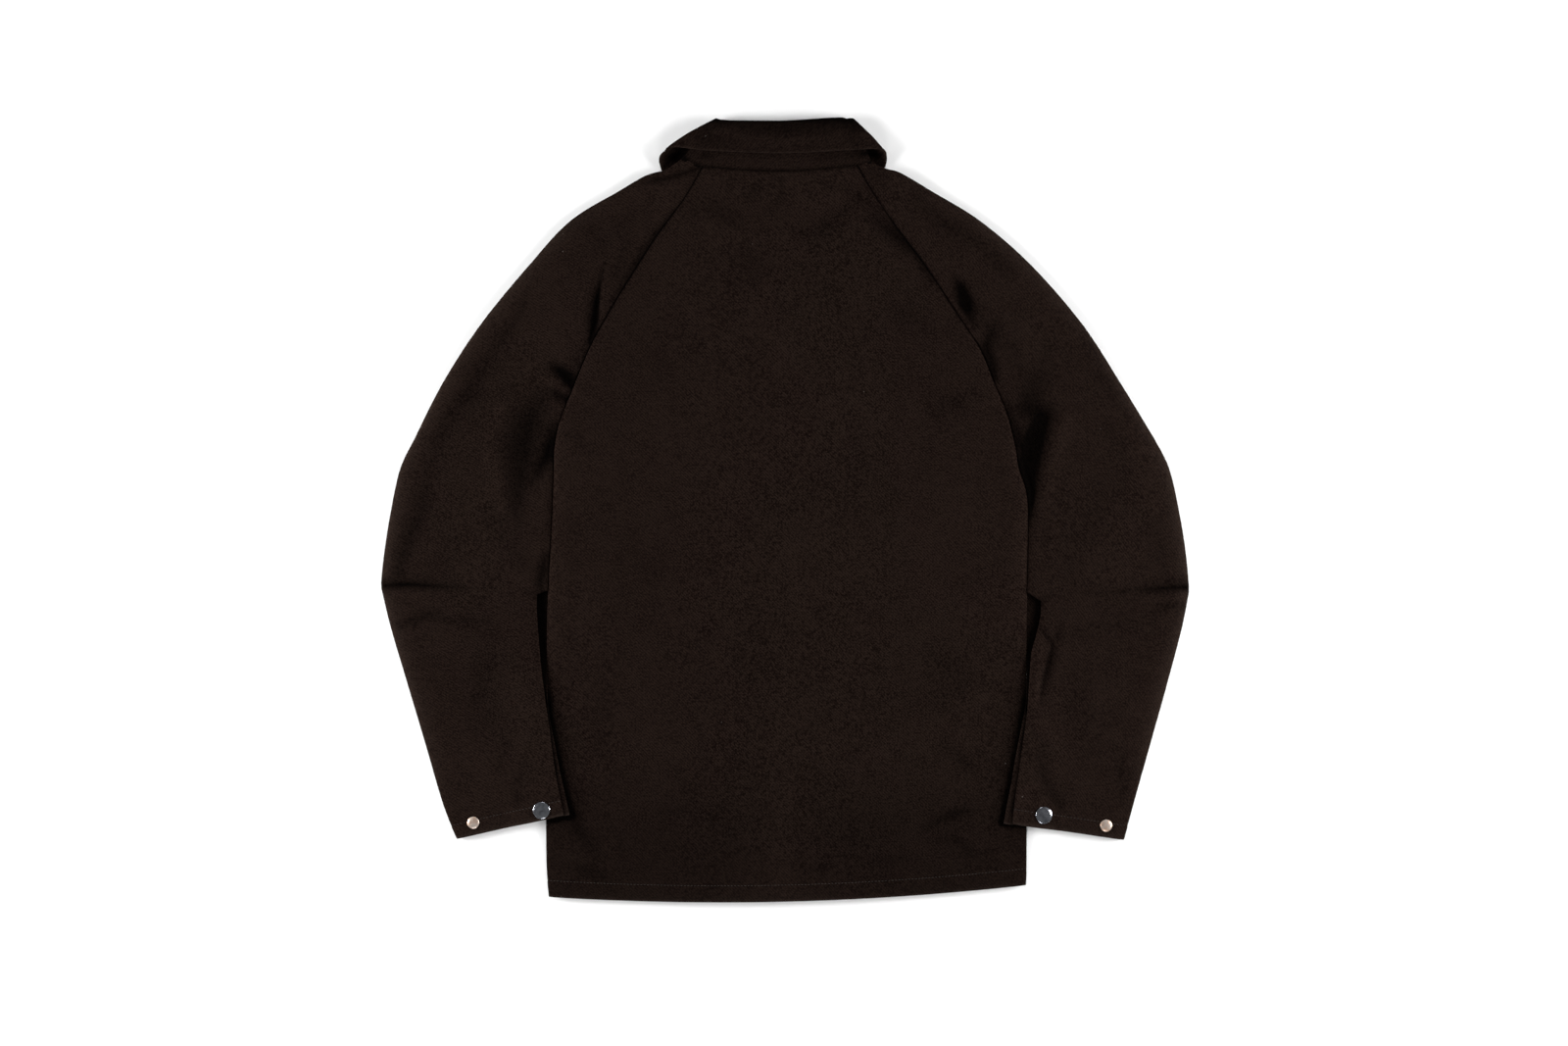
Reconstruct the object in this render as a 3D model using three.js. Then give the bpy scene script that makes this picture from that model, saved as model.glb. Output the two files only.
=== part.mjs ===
// A twill work jacket with raglan sleeves and a turned-down collar, lying face down on a flat surface.
// Sizes are millimetres. +X runs to the wearer's right, +Y towards the collar and +Z up,
// and z = 0 is the surface that the jacket lies on.
import * as THREE from "three";

// Driving sizes of the cloth and its seams
const CLOTH = 1.2; // one layer of twill
const COLLAR_CLOTH = 2; // two layers of twill, sewn and turned
const SEAM = 0.3; // clear distance between two pieces at a seam
const HEM = 17; // depth of the turned hem of the body
const CUFF_HEM = 15; // depth of the turned hem of the sleeves
const HEM_EXTRA = 0.8; // what a turned hem adds to the wall, on its inside
const HEM_STEP = 1.5; // over this length

// Heights of the middle of each layer above the surface
const LOWER = CLOTH / 2; // the fronts lie on the surface
const UPPER = 6.4; // the back lies on the fronts, with the air that stiff cloth traps
const CENTRE_LIFT = 1.2; // more where the back crosses the front fastening
const NECK_LIFT = 1.8; // more where the back climbs to the collar
const SIDE_DROP = 2.8; // less at the sides, where a sleeve lies on the body
const ARM_LIFT = 2.4; // more where the upper arm stays round
const SLEEVE_LIFT = 4.4; // what a forearm climbs to lie on the side of the body
const LEAF_LIFT = 2.6; // what the fronts climb to lie on the leaves of the collar
const LAP = CLOTH + 3 * SEAM; // what the right front climbs to lie on the left front

// Where those heights start and where they are full: across the jacket, or down it
const CENTRE_WIDTH = 110;
const NECK_RAMP = { reach: 50, x: [180, 120] };
const SIDE_RAMP = { x: [165, 216], top: [-60, -130], hem: [-385, -345] };
const ARM_PUFF = { x: 318, y: 90, alongX: 62, alongY: 150 };
const FOREARM_RAMP = { x: [290, 253], y: [-135, -175] };
const LEAF_RAMP = [34, 9];
const PLACKET_RAMP = { x: [52, 26], y: [-388, -350] };
const LAP_RAMP = [34, 22];
const FRONT_NECK_RISE = { height: 0.6, fromLeaf: [14, 0], fromNeck: [24, 4] };

// Turned edges: how far in from a fold the cloth starts to turn, and in how many steps
const UPPER_TURN = { reach: 8, steps: 3 };
const LOWER_TURN = { reach: 4, steps: 2 };
const SLEEVE_TURN = { reach: 4, steps: 4 }; // the front half of a sleeve turns further at the cuff
const TUCK = 14; // how far it then goes in again, under the back half
const FOLD_FADE = 10; // folds are full this far in from a seam
const HEM_FROM = [3, 5]; // points in from an edge between which the turned hem starts
const LEAST_ANGLE = THREE.MathUtils.degToRad(3);
const LEAST_TURN = 0.05;
const QUARTER = Math.PI / 2;

// Fastenings
const SNAP = { radius: 8.6, height: 1.8 };
const RIVET = { radius: 6.1, height: 1.7 };
const CAP_SIDES = 20;
const PLACKET = 16; // how far each front passes the middle
const PLACKET_LIFT = SNAP.height + SEAM; // the placket lies on its own snap caps
const FRONT_SNAPS = { count: 5, top: 258, bottom: -330 };

/** Rows of numbers as objects with the named columns. */
function table(names, ...rows) {
  const keys = names.split(" ");
  return rows.map((row) => Object.fromEntries(keys.map((key, i) => [key, row[i]])));
}

/** A smooth curve on the surface through a table's x and y. */
function edge(points) {
  return new THREE.SplineCurve(points.map(({ x, y }) => new THREE.Vector2(x, y)));
}

/** 0 before from, 1 after to, smooth between; from may be the larger. */
function smooth(from, to, value) {
  const t = THREE.MathUtils.clamp((value - from) / (to - from), 0, 1);
  return t * t * (3 - 2 * t);
}

// Edges seen from above, each from the collar towards the hem or cuff
const NECK = {
  left: { back: { x: -83.5, y: 350 }, side: { x: -105, y: 358 }, front: { x: -92, y: 326 } },
  right: { back: { x: 74, y: 351 }, side: { x: 88, y: 355 }, front: { x: 84, y: 326 } },
};
const FRONT_NECK_Y = 279;
const BACK_NECK_DIP = 5.5;
const BACK_NECK_RISE = 16; // from the middle of the back's neck seam to the sides of the neck
const FRONT_NECK_DIP = 16.5;
const BACK_HEM_DIP = 10.5;
const FRONT_HEM_Y = -397;
const FRONT_HEM_DIP = 2.7;
const FRONT_HEM_RISE = 2; // the front hems stop just short of the back hem

const LEFT = {
  side: -1,
  raglan: table(
    "x y",
    [-83.5, 350], [-103, 317], [-130, 280], [-156, 240], [-177, 206], [-199, 166], [-217, 123],
    [-231, 88], [-236, 60],
  ),
  frontRaglan: table(
    "x y",
    [-92, 326], [-106, 306], [-131, 276], [-156, 240], [-177, 206], [-199, 166], [-217, 123],
    [-231, 88], [-236, 60],
  ),
  bodySide: table(
    "x y",
    [-236, 60], [-238, -4], [-242, -84], [-243.5, -130], [-244, -250], [-244, -350], [-241, -395],
  ),
  shoulder: table(
    "x y",
    [-105, 358], [-115, 351], [-124, 345.5], [-134, 343.5], [-146, 339], [-170, 325], [-219, 295],
    [-261, 250], [-310, 190], [-349, 130], [-379, 71],
  ),
  upperArm: table("x y", [-379, 71], [-393.5, 40], [-404, -10], [-410, -50], [-412.5, -75]),
  forearm: table(
    "x y",
    [-412, -81], [-402, -122], [-383, -186], [-366, -243], [-349, -301], [-335, -336],
  ),
  upperArmInside: table("x y", [-236, 60], [-238, -4], [-240, -45], [-242, -82]),
  forearmInside: table(
    "x y",
    [-251, -88], [-252.5, -120], [-249, -160], [-242.5, -195], [-239.5, -220], [-236, -247],
    [-229.4, -285], [-225, -311],
  ),
  forearmUnder: table(
    "x y",
    [-244.6, -88], [-246, -120], [-246.5, -160], [-241, -195], [-235, -220], [-229, -247],
    [-223.5, -285], [-219.5, -311],
  ),
};

const RIGHT = {
  side: 1,
  raglan: table(
    "x y",
    [74, 351], [85, 331], [109, 295], [142.5, 250.5], [172, 205.5], [198, 166], [213, 131],
    [227, 97], [236, 62],
  ),
  frontRaglan: table(
    "x y",
    [84, 326], [96, 310], [116, 286], [143, 250], [172, 205.5], [198, 166], [213, 131], [227, 97],
    [236, 62],
  ),
  bodySide: table(
    "x y",
    [236, 62], [239, 42], [246, 20], [248.5, -5], [247.5, -64], [247, -130], [247, -250],
    [247, -350], [246, -383],
  ),
  shoulder: table(
    "x y",
    [88, 355], [97, 350], [106, 347], [119, 343], [150, 325], [199, 295], [251, 250], [303, 190],
    [342, 130], [378, 71],
  ),
  upperArm: table("x y", [378, 71], [393, 40], [404, -10], [410, -50], [412.5, -78]),
  forearm: table("x y", [412.5, -84], [405, -122], [388, -186], [372, -243], [356, -300], [346, -337]),
  upperArmInside: table("x y", [236, 62], [239, 42], [246.7, 20], [249.7, -5], [249.2, -45], [250, -84]),
  forearmInside: table(
    "x y",
    [260, -96], [260, -118], [252.5, -150], [246, -188], [243.5, -207], [239.5, -245],
    [234, -289], [232, -320],
  ),
  forearmUnder: table(
    "x y",
    [249.8, -96], [250.2, -118], [250.2, -150], [244.5, -188], [240, -207], [232, -245],
    [225, -285], [220, -320],
  ),
};

// Folds and hollows of each piece: a line that the fold follows, its half width, and its height
const FOLDS = {
  back: table(
    "x0 y0 x1 y1 width depth",
    [95, 282, 150, 238, 15, -1.1],
    [-95, 312, -55, 303, 13, -0.8],
    [20, 297, 55, 285, 13, -0.8],
    [-10, -238, 55, -203, 8, -0.7],
    [140, -320, 188, -306, 8, -0.7],
  ),
  left: table(
    "x0 y0 x1 y1 width depth",
    [-262, 220, -330, 105, 12, -1.7],
    [-330, 105, -388, -50, 12, -1.7],
    [-188, 228, -203, 172, 8, -2.2],
    [-238, 148, -222, 128, 8, -1.6],
    [-266, 95, -258, 0, 20, -1.9],
    [-402, -77, -320, -78, 7, -1.8],
    [-395, -117, -350, -106, 10, -1],
    [-98, 346, -150, 331, 7, -1.3],
  ),
  right: table(
    "x0 y0 x1 y1 width depth",
    [112, 326, 200, 272, 10, -1],
    [180, 228, 193, 198, 9, -2],
    [208, 188, 222, 138, 9, -2],
    [262, 122, 258, 60, 12, -3.2],
    [256, 60, 257, 5, 9, -3.2],
    [402, -80, 330, -84, 7, -1.6],
    [277, -130, 264, -190, 9, -1.6],
    [268, -255, 283, -296, 9, -0.6],
  ),
};

/** The height that a piece's folds add at a point. */
function relief(folds, x, y) {
  let height = 0;
  for (const { x0, y0, x1, y1, width, depth } of folds) {
    const dx = x1 - x0;
    const dy = y1 - y0;
    const along = THREE.MathUtils.clamp(((x - x0) * dx + (y - y0) * dy) / (dx * dx + dy * dy), 0, 1);
    const away = Math.hypot(x - x0 - along * dx, y - y0 - along * dy) / width;
    height += depth * Math.exp(-away * away);
  }
  return height;
}

/** The middle of the upper layer, before its folds: the back and the back sleeves share it. */
function upperHeight(x, y) {
  const seamY = NECK.left.back.y - BACK_NECK_DIP + BACK_NECK_RISE * (x / NECK.left.side.x) ** 2;
  const belowSeam = Math.max(0, seamY - y);
  const neck = Math.exp(-((belowSeam / NECK_RAMP.reach) ** 2)) * smooth(...NECK_RAMP.x, Math.abs(x));
  return UPPER + CENTRE_LIFT * Math.exp(-((x / CENTRE_WIDTH) ** 2)) + NECK_LIFT * neck;
}

/** The back sinks at the sides, where the forearms lie on it. */
function backHeight(x, y) {
  const along = smooth(...SIDE_RAMP.top, y) * smooth(...SIDE_RAMP.hem, y);
  return upperHeight(x, y) - SIDE_DROP * smooth(...SIDE_RAMP.x, Math.abs(x)) * along;
}

/** How far a point lies outside the leaves of the collar, which are drawn by their two free edges. */
const LEAF = { side: { x: 131, y: 352 }, tip: { x: 50, y: 222 }, front: { x: 3, y: 290 } };
function outsideLeaf(x, y) {
  const beyond = (from, to) => {
    const dx = to.x - from.x;
    const dy = to.y - from.y;
    return ((Math.abs(x) - from.x) * -dy + (y - from.y) * dx) / Math.hypot(dx, dy);
  };
  return Math.max(0, beyond(LEAF.side, LEAF.tip), beyond(LEAF.tip, LEAF.front));
}

/** The middle of the lower layer: the fronts and the front sleeves share it. */
function lowerHeight(x, y) {
  const away = outsideLeaf(x, y);
  const { height, fromLeaf, fromNeck } = FRONT_NECK_RISE;
  const rise = height * smooth(...fromLeaf, away) * smooth(...fromNeck, belowFrontNeck(x, y));
  const placket = PLACKET_LIFT * smooth(...PLACKET_RAMP.x, Math.abs(x)) * smooth(...PLACKET_RAMP.y, y);
  return LOWER + Math.max(LEAF_LIFT * smooth(...LEAF_RAMP, away) + rise, placket);
}

/** Roughly how far a point lies below the neck seam of the fronts. */
function belowFrontNeck(x, y) {
  const { front } = NECK.left;
  return Math.max(0, FRONT_NECK_Y + (front.y - FRONT_NECK_Y) * (x / front.x) ** 2 - y);
}

/** How far a forearm is lifted where it climbs the side of the body. */
function sleeveLift(x, y) {
  return SLEEVE_LIFT * smooth(...FOREARM_RAMP.x, Math.abs(x)) * smooth(...FOREARM_RAMP.y, y);
}

/** The middle of a back sleeve, before its folds: the upper arm stays rounder than the rest. */
function sleeveHeight(x, y) {
  const acrossArm = (Math.abs(x) - ARM_PUFF.x) / ARM_PUFF.alongX;
  const downArm = (y - ARM_PUFF.y) / ARM_PUFF.alongY;
  return upperHeight(x, y) + sleeveLift(x, y) + ARM_LIFT * Math.exp(-(acrossArm ** 2) - downArm ** 2);
}

/** Shares of an edge's length where rows of points go: even steps, and one at the start of a turned hem. */
function shares(count, length = 0, hem = 0) {
  const last = hem ? 1 - (hem + HEM_STEP) / length : 1;
  const even = Array.from({ length: count + 1 }, (_, i) => (last * i) / count);
  return hem ? [...even, 1 - hem / length, 1] : even;
}

/** The points across a panel, on the middle of its wall, with one more past each of its edges. */
function across(row, panel) {
  const { left, right, dip, turn } = row;
  const width = Math.hypot(right.x - left.x, right.y - left.y);
  const point = (along, depth) => {
    const t = along / width;
    const x = left.x + (right.x - left.x) * t;
    const y = left.y + (right.y - left.y) * t - dip * 4 * t * (1 - t);
    return { x, y, depth };
  };
  const upper = panel.layer === "upper";
  const { reach, steps } = panel.turning;
  const edges = ["left", "right"].map((name) => {
    const angle = Math.max(LEAST_ANGLE, turn[name] * QUARTER);
    const most = Math.sin(Math.min(angle, QUARTER));
    const inset = SEAM / 2 + (CLOTH / 2) * most;
    const turned = [];
    for (let step = steps + 1; step >= 0; step--) {
      const at = (angle * step) / steps;
      const run = at > QUARTER && angle > QUARTER ? TUCK : reach;
      turned.push({ along: inset + run * (1 - Math.sin(at) / most), depth: 1 - Math.cos(at) });
    }
    return turned;
  });
  const start = edges[0][steps + 1].along;
  const end = width - edges[1][steps + 1].along;
  const points = edges[0].map(({ along, depth }) => point(along, depth));
  for (let i = 1; i < panel.columns; i++) points.push(point(start + ((end - start) * i) / panel.columns, 0));
  for (const { along, depth } of edges[1].reverse()) points.push(point(width - along, depth));

  // A turned edge reaches the height where the two layers meet.
  const half = (points.length - 1) / 2;
  return points.map(({ x, y, depth }, i) => {
    const corner = i < half ? left : right;
    const flat = panel.height(x, y);
    const meeting = (panel.upper(corner.x, corner.y) + panel.lower(corner.x, corner.y)) / 2;
    const turned = turn[i < half ? "left" : "right"];
    const under = upper ? 0 : Math.max(0, turned - 1) * (CLOTH + SEAM + HEM_EXTRA);
    const fall = panel.height(corner.x, corner.y) - meeting - (upper ? SEAM : -SEAM - under) / 2;
    const fromEdge = (i < half ? i - 1 : points.length - 2 - i) * (reach / steps);
    const folds = upper ? smooth(0, FOLD_FADE, fromEdge) * relief(panel.folds, x, y) : 0;
    return new THREE.Vector3(x, y, flat + folds - fall * depth);
  });
}

/** A closed wall through rows of points on its middle, thicker on its inside where extra says so. */
function clothWall(rows, thickness, outward, extra = () => 0) {
  const down = rows.length;
  const wide = rows[0].length - 2;
  const positions = [];
  for (let i = 0; i < down; i++) {
    for (let j = 1; j <= wide; j++) {
      const along = rows[Math.min(i + 1, down - 1)][j].clone().sub(rows[Math.max(i - 1, 0)][j]);
      const over = rows[i][j + 1].clone().sub(rows[i][j - 1]);
      const normal = along.cross(over).normalize().multiplyScalar(outward);
      const middle = rows[i][j];
      const outer = middle.clone().addScaledVector(normal, thickness / 2);
      const inner = middle.clone().addScaledVector(normal, -thickness / 2 - extra(i, j));
      positions.push(...outer.toArray(), ...inner.toArray());
    }
  }
  const vertex = (i, j, layer) => 2 * (i * wide + j) + layer;
  const rim = wide - 1;
  const foot = down - 1;
  const index = [];
  const quad = (a, b, c, d) => (outward > 0 ? index.push(a, b, c, a, c, d) : index.push(a, c, b, a, d, c));
  for (let i = 0; i + 1 < down; i++) {
    for (let j = 0; j + 1 < wide; j++) {
      quad(vertex(i, j, 0), vertex(i + 1, j, 0), vertex(i + 1, j + 1, 0), vertex(i, j + 1, 0));
      quad(vertex(i, j, 1), vertex(i, j + 1, 1), vertex(i + 1, j + 1, 1), vertex(i + 1, j, 1));
    }
    quad(vertex(i, 0, 0), vertex(i, 0, 1), vertex(i + 1, 0, 1), vertex(i + 1, 0, 0));
    quad(vertex(i, rim, 0), vertex(i + 1, rim, 0), vertex(i + 1, rim, 1), vertex(i, rim, 1));
  }
  for (let j = 0; j + 1 < wide; j++) {
    quad(vertex(0, j, 0), vertex(0, j + 1, 0), vertex(0, j + 1, 1), vertex(0, j, 1));
    quad(vertex(foot, j, 0), vertex(foot, j, 1), vertex(foot, j + 1, 1), vertex(foot, j + 1, 0));
  }
  const geometry = new THREE.BufferGeometry();
  geometry.setAttribute("position", new THREE.Float32BufferAttribute(positions, 3));
  geometry.setIndex(index);
  geometry.computeVertexNormals();
  return geometry;
}

/** The rows of a panel whose left and right edges are runs of curves, taken side by side. */
function panelRows(runs, panel) {
  const rows = [];
  for (const { left, right, at, dip = () => 0, turn, stepped } of runs) {
    for (const share of rows.length && !stepped ? at.slice(1) : at) {
      rows.push(across({
        left: left.getPointAt(share),
        right: right.getPointAt(share),
        dip: dip(share),
        turn: turn(share),
      }, panel));
    }
  }
  return rows;
}

// How far the edges of the two layers are turned towards each other along the raglan seam, in quarter turns
const NECK_TURN = 0.12; // of the back, next to the neck
const UPPER_TURN_FROM = 0.1;
const LOWER_TURN_FROM = 0.86;
const upperTurn = (share) => NECK_TURN + (1 - NECK_TURN) * smooth(UPPER_TURN_FROM, 1, share) ** 1.3;
const lowerTurn = (share) => smooth(LOWER_TURN_FROM, 1, share);

// The forearm's inner edge: where the front half starts to lap under the back half, and how far both turn
const UNDERLAP = [0.4, 0.6];
const LAPPED_TURN = { upper: 0.1, lower: 2 };

const BACK_COLUMNS = 20;
const FRONT_COLUMNS = 9;
const SLEEVE_COLUMNS = { upper: 8, lower: 5 };
const RAGLAN_ROWS = 9;
const SIDE_ROWS = 13;
const UPPER_ARM_ROWS = 5;
const FOREARM_ROWS = 8;

/** A turned hem thickens the last two rows of a wall, away from where the wall turns at a fold. */
function hemExtra(rows, keep = () => 1) {
  const last = rows[0].length - 1;
  return (i, j) => {
    if (i < rows.length - 2) return 0;
    return HEM_EXTRA * smooth(...HEM_FROM, Math.min(j, last - j)) * keep(rows[i][j].x);
  };
}

/** The back: one piece from the neck seam to the hem. */
function makeBack() {
  const panel = {
    layer: "upper", columns: BACK_COLUMNS, folds: FOLDS.back, turning: UPPER_TURN,
    height: backHeight, upper: backHeight, lower: lowerHeight,
  };
  const leftSide = edge(LEFT.bodySide);
  const rows = panelRows([
    {
      left: edge(LEFT.raglan), right: edge(RIGHT.raglan), at: shares(RAGLAN_ROWS),
      dip: (share) => BACK_NECK_DIP * (1 - share),
      turn: (share) => ({ left: upperTurn(share), right: upperTurn(share) }),
    },
    {
      left: leftSide, right: edge(RIGHT.bodySide), at: shares(SIDE_ROWS, leftSide.getLength(), HEM),
      dip: (share) => BACK_HEM_DIP * share ** 2,
      turn: () => ({ left: 1, right: 1 }),
    },
  ], panel);
  return clothWall(rows, CLOTH, 1, hemExtra(rows));
}

/** One front, from the neck seam to the hem and from the side to past the middle. */
function makeFront(arm) {
  const own = arm.side < 0 ? "left" : "right";
  const other = arm.side < 0 ? "right" : "left";
  const lap = arm.side < 0 ? 0 : LAP;
  const lowerLapped = (x, y) => lowerHeight(x, y) + lap * smooth(...LAP_RAMP, x);
  const panel = {
    layer: "lower", columns: FRONT_COLUMNS, folds: [], turning: LOWER_TURN,
    height: lowerLapped, upper: backHeight, lower: lowerLapped,
  };
  const underarm = arm.raglan.at(-1);
  const hem = arm.bodySide.at(-1);
  const placketX = -arm.side * PLACKET;
  const side = edge(arm.bodySide.map(({ x, y }) => ({ x, y: y === hem.y ? y + FRONT_HEM_RISE : y })));
  const runs = [
    {
      side: edge(arm.frontRaglan),
      placket: edge([{ x: placketX, y: FRONT_NECK_Y }, { x: placketX, y: underarm.y }]),
      at: shares(RAGLAN_ROWS),
      dip: (share) => FRONT_NECK_DIP * (1 - share) ** 1.5,
      turned: lowerTurn,
    },
    {
      side,
      placket: edge([{ x: placketX, y: underarm.y }, { x: placketX, y: FRONT_HEM_Y }]),
      at: shares(SIDE_ROWS, side.getLength(), HEM),
      dip: (share) => FRONT_HEM_DIP * share ** 2,
      turned: () => 1,
    },
  ].map(({ side: sideEdge, placket, at, dip, turned }) => ({
    [own]: sideEdge, [other]: placket, at, dip,
    turn: (share) => ({ [own]: turned(share), [other]: 0 }),
  }));
  const rows = panelRows(runs, panel);
  return clothWall(rows, CLOTH, -1, hemExtra(rows, (x) => 1 - smooth(...PLACKET_RAMP.x, Math.abs(x))));
}

/** One half of a sleeve, from the neck seam to the cuff: the back half lies on the front half. */
function makeSleeve(arm, layer) {
  const own = arm.side < 0 ? "left" : "right";
  const other = arm.side < 0 ? "right" : "left";
  const heights = {
    upper: sleeveHeight,
    lower: (x, y) => lowerHeight(x, y) + sleeveLift(x, y),
  };
  const upper = layer === "upper";
  const panel = {
    layer, columns: SLEEVE_COLUMNS[layer], folds: FOLDS[own], height: heights[layer], ...heights,
    turning: upper ? UPPER_TURN : SLEEVE_TURN,
  };
  const forearm = edge(arm.forearm);
  const first = upper ? 1 : LEAST_TURN;
  const runs = [
    {
      outer: edge(arm.shoulder), inner: edge(upper ? arm.raglan : arm.frontRaglan),
      at: shares(RAGLAN_ROWS), innerTurn: upper ? upperTurn : lowerTurn,
    },
    {
      outer: edge(arm.upperArm), inner: edge(arm.upperArmInside),
      at: shares(UPPER_ARM_ROWS), innerTurn: () => 1,
    },
    {
      outer: forearm, inner: edge(upper ? arm.forearmInside : arm.forearmUnder),
      at: shares(FOREARM_ROWS, forearm.getLength(), CUFF_HEM), stepped: true,
      innerTurn: (share) => first + (LAPPED_TURN[layer] - first) * smooth(...UNDERLAP, share),
    },
  ].map(({ outer, inner, at, innerTurn, stepped }) => ({
    [own]: outer, [other]: inner, at, stepped,
    turn: (share) => ({ [own]: 1, [other]: innerTurn(share) }),
  }));
  const rows = panelRows(runs, panel);
  return clothWall(rows, CLOTH, upper ? 1 : -1, hemExtra(rows));
}

// The collar, one ribbon from the left front end round the back to the right front end. Around is the angle
// that it has turned from the surface: 90 on the back, 0 at the side and -90 on the front. Neck counts the
// neck seam's corners from the left front end. Roll and edge are the fold and the free edge from above.
const COLLAR = table(
  "neck around rollX rollY edgeX edgeY bulge",
  [0, -90, -7, 291, -50, 222, 0],
  [0.5, -90, -48, 312, -79, 262, 0],
  [1, -90, -82, 352, -108, 310, 2],
  [1.5, -90, -76, 383, -122, 338, 3],
  [1.8, -45, -70, 391, -125, 347, 2],
  [2, 0, -69, 393.5, -125, 348, 2.5],
  [2, 45, -68.5, 394.5, -121, 353, 2],
  [2.25, 90, -67, 395, -111, 368, 2],
  [3, 90, -52, 395, -78, 365.5, 0],
  [3.5, 90, 0, 394.2, -3, 363, 0],
  [4, 90, 52, 397.9, 66, 366, 0],
  [4.75, 90, 63, 396, 90, 364.5, 1],
  [5, 45, 65, 395, 96, 358, 2],
  [5, 0, 65.5, 394, 98, 352.5, 2],
  [5.2, -45, 66, 391, 98, 347, 2],
  [5.6, -90, 70, 383, 97, 336, 1],
  [6, -90, 76, 352, 95, 310, 1],
  [6.5, -90, 48, 312, 75, 262, 0],
  [7, -90, 7, 291, 50, 222, 0],
);
const COLLAR_HEIGHT = 6; // the middle of the flattened neck
const STAND_AWAY = 2.2; // how far the stand and the fall lie from that middle
const FALL_AWAY = 5;
const STAND_INSET = 0.5; // the stand starts this far past the neck seam
const FRONT_GAP = 3; // each front end starts this far from the middle
const STAND_STEPS = 3;
const ROLL_STEPS = 4;
const FALL_STEPS = 4;
const COLLAR_STEPS = 2; // rows between two rows of the table

/** The neck seam, seen from above, as a polyline with corners where the pieces meet. */
function neckPoint(neck) {
  const dipped = (from, to, dip, t) => ({
    x: from.x + (to.x - from.x) * t,
    y: from.y + (to.y - from.y) * t - dip * 4 * t * (1 - t),
  });
  const { left, right } = NECK;
  const placket = (side) => ({ x: -side * PLACKET, y: FRONT_NECK_Y });
  const frontShare = (corner, side) => (FRONT_GAP - corner.x * side) / (placket(side).x - corner.x) / side;
  const runs = [
    (t) => dipped(left.front, placket(-1), FRONT_NECK_DIP, frontShare(left.front, -1) * (1 - t)),
    (t) => dipped(left.front, left.side, 0, t),
    (t) => dipped(left.side, left.back, 0, t),
    (t) => dipped(left.back, right.back, BACK_NECK_DIP, t),
    (t) => dipped(right.back, right.side, 0, t),
    (t) => dipped(right.side, right.front, 0, t),
    (t) => dipped(right.front, placket(1), FRONT_NECK_DIP, frontShare(right.front, 1) * t),
  ];
  const run = Math.min(Math.floor(neck), runs.length - 1);
  return runs[run](neck - run);
}

/** The value of a table's column between two of its rows, on a smooth curve. */
function between(rows, key, at) {
  const i = Math.min(Math.floor(at), rows.length - 2);
  const t = at - i;
  const value = (k) => rows[THREE.MathUtils.clamp(k, 0, rows.length - 1)][key];
  const [a, b, c, d] = [i - 1, i, i + 1, i + 2].map(value);
  return b + 0.5 * t * (c - a + t * (2 * a - 5 * b + 4 * c - d + t * (3 * (b - c) + d - a)));
}

/** The collar's stand, roll and fall as one folded wall. */
function makeCollar() {
  const rows = [];
  const count = (COLLAR.length - 1) * COLLAR_STEPS;
  for (let i = 0; i <= count; i++) {
    const at = i / COLLAR_STEPS;
    const low = Math.min(Math.floor(at), COLLAR.length - 2);
    const neckAt = COLLAR[low].neck + (COLLAR[low + 1].neck - COLLAR[low].neck) * (at - low);
    const around = THREE.MathUtils.degToRad(
      COLLAR[low].around + (COLLAR[low + 1].around - COLLAR[low].around) * (at - low),
    );
    const seam = neckPoint(neckAt);
    const roll = new THREE.Vector2(between(COLLAR, "rollX", at), between(COLLAR, "rollY", at));
    const free = new THREE.Vector2(between(COLLAR, "edgeX", at), between(COLLAR, "edgeY", at));
    const neck = new THREE.Vector2(seam.x, seam.y);
    const up = roll.clone().sub(neck).normalize();
    const down = free.clone().sub(roll).normalize();
    const outward = new THREE.Vector2(down.y, -down.x).multiplyScalar(i < count / 2 ? 1 : -1);
    const place = (plan, away, sideways = outward) => new THREE.Vector3(
      plan.x + sideways.x * away * Math.cos(around),
      plan.y + sideways.y * away * Math.cos(around),
      COLLAR_HEIGHT + away * Math.sin(around),
    );
    const row = [];
    // The stand starts just inside the seam and leans out to the roll.
    const start = neck.clone().addScaledVector(up, STAND_INSET);
    start.x += (i < count / 2 ? 1 : -1) * (COLLAR_CLOTH / 2 + SEAM) * Math.cos(around);
    for (let k = -1; k < STAND_STEPS; k++) {
      const t = k / STAND_STEPS;
      row.push(place(start.clone().lerp(roll, t), STAND_AWAY, outward.clone().multiplyScalar(t)));
    }
    const radius = (FALL_AWAY - STAND_AWAY) / 2;
    for (let k = 0; k <= ROLL_STEPS; k++) {
      const angle = Math.PI * (k / ROLL_STEPS - 0.5);
      const plan = roll.clone().addScaledVector(up, radius * Math.cos(angle));
      row.push(place(plan, STAND_AWAY + radius + radius * Math.sin(angle)));
    }
    const bulge = between(COLLAR, "bulge", at);
    for (let k = 1; k <= FALL_STEPS + 1; k++) {
      const t = k / FALL_STEPS;
      const plan = roll.clone().lerp(free, t).addScaledVector(outward, bulge * 4 * t * (1 - t));
      row.push(place(plan, FALL_AWAY));
    }
    rows.push(row);
  }
  return clothWall(rows, COLLAR_CLOTH, -1);
}

// The profile of a cap with a low dome and a rolled rim, in shares of its radius and height
const CAP_PROFILE = table(
  "x y",
  [0, 0], [0.94, 0], [1, 0.275], [0.95, 0.55], [0.75, 0.75], [0.45, 0.91], [0, 1],
);

/** A round cap with its flat side at z = 0. */
function makeCap({ radius, height }) {
  const profile = CAP_PROFILE.map(({ x, y }) => new THREE.Vector2(x * radius, y * height));
  return new THREE.LatheGeometry(profile, CAP_SIDES).rotateX(QUARTER);
}

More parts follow.
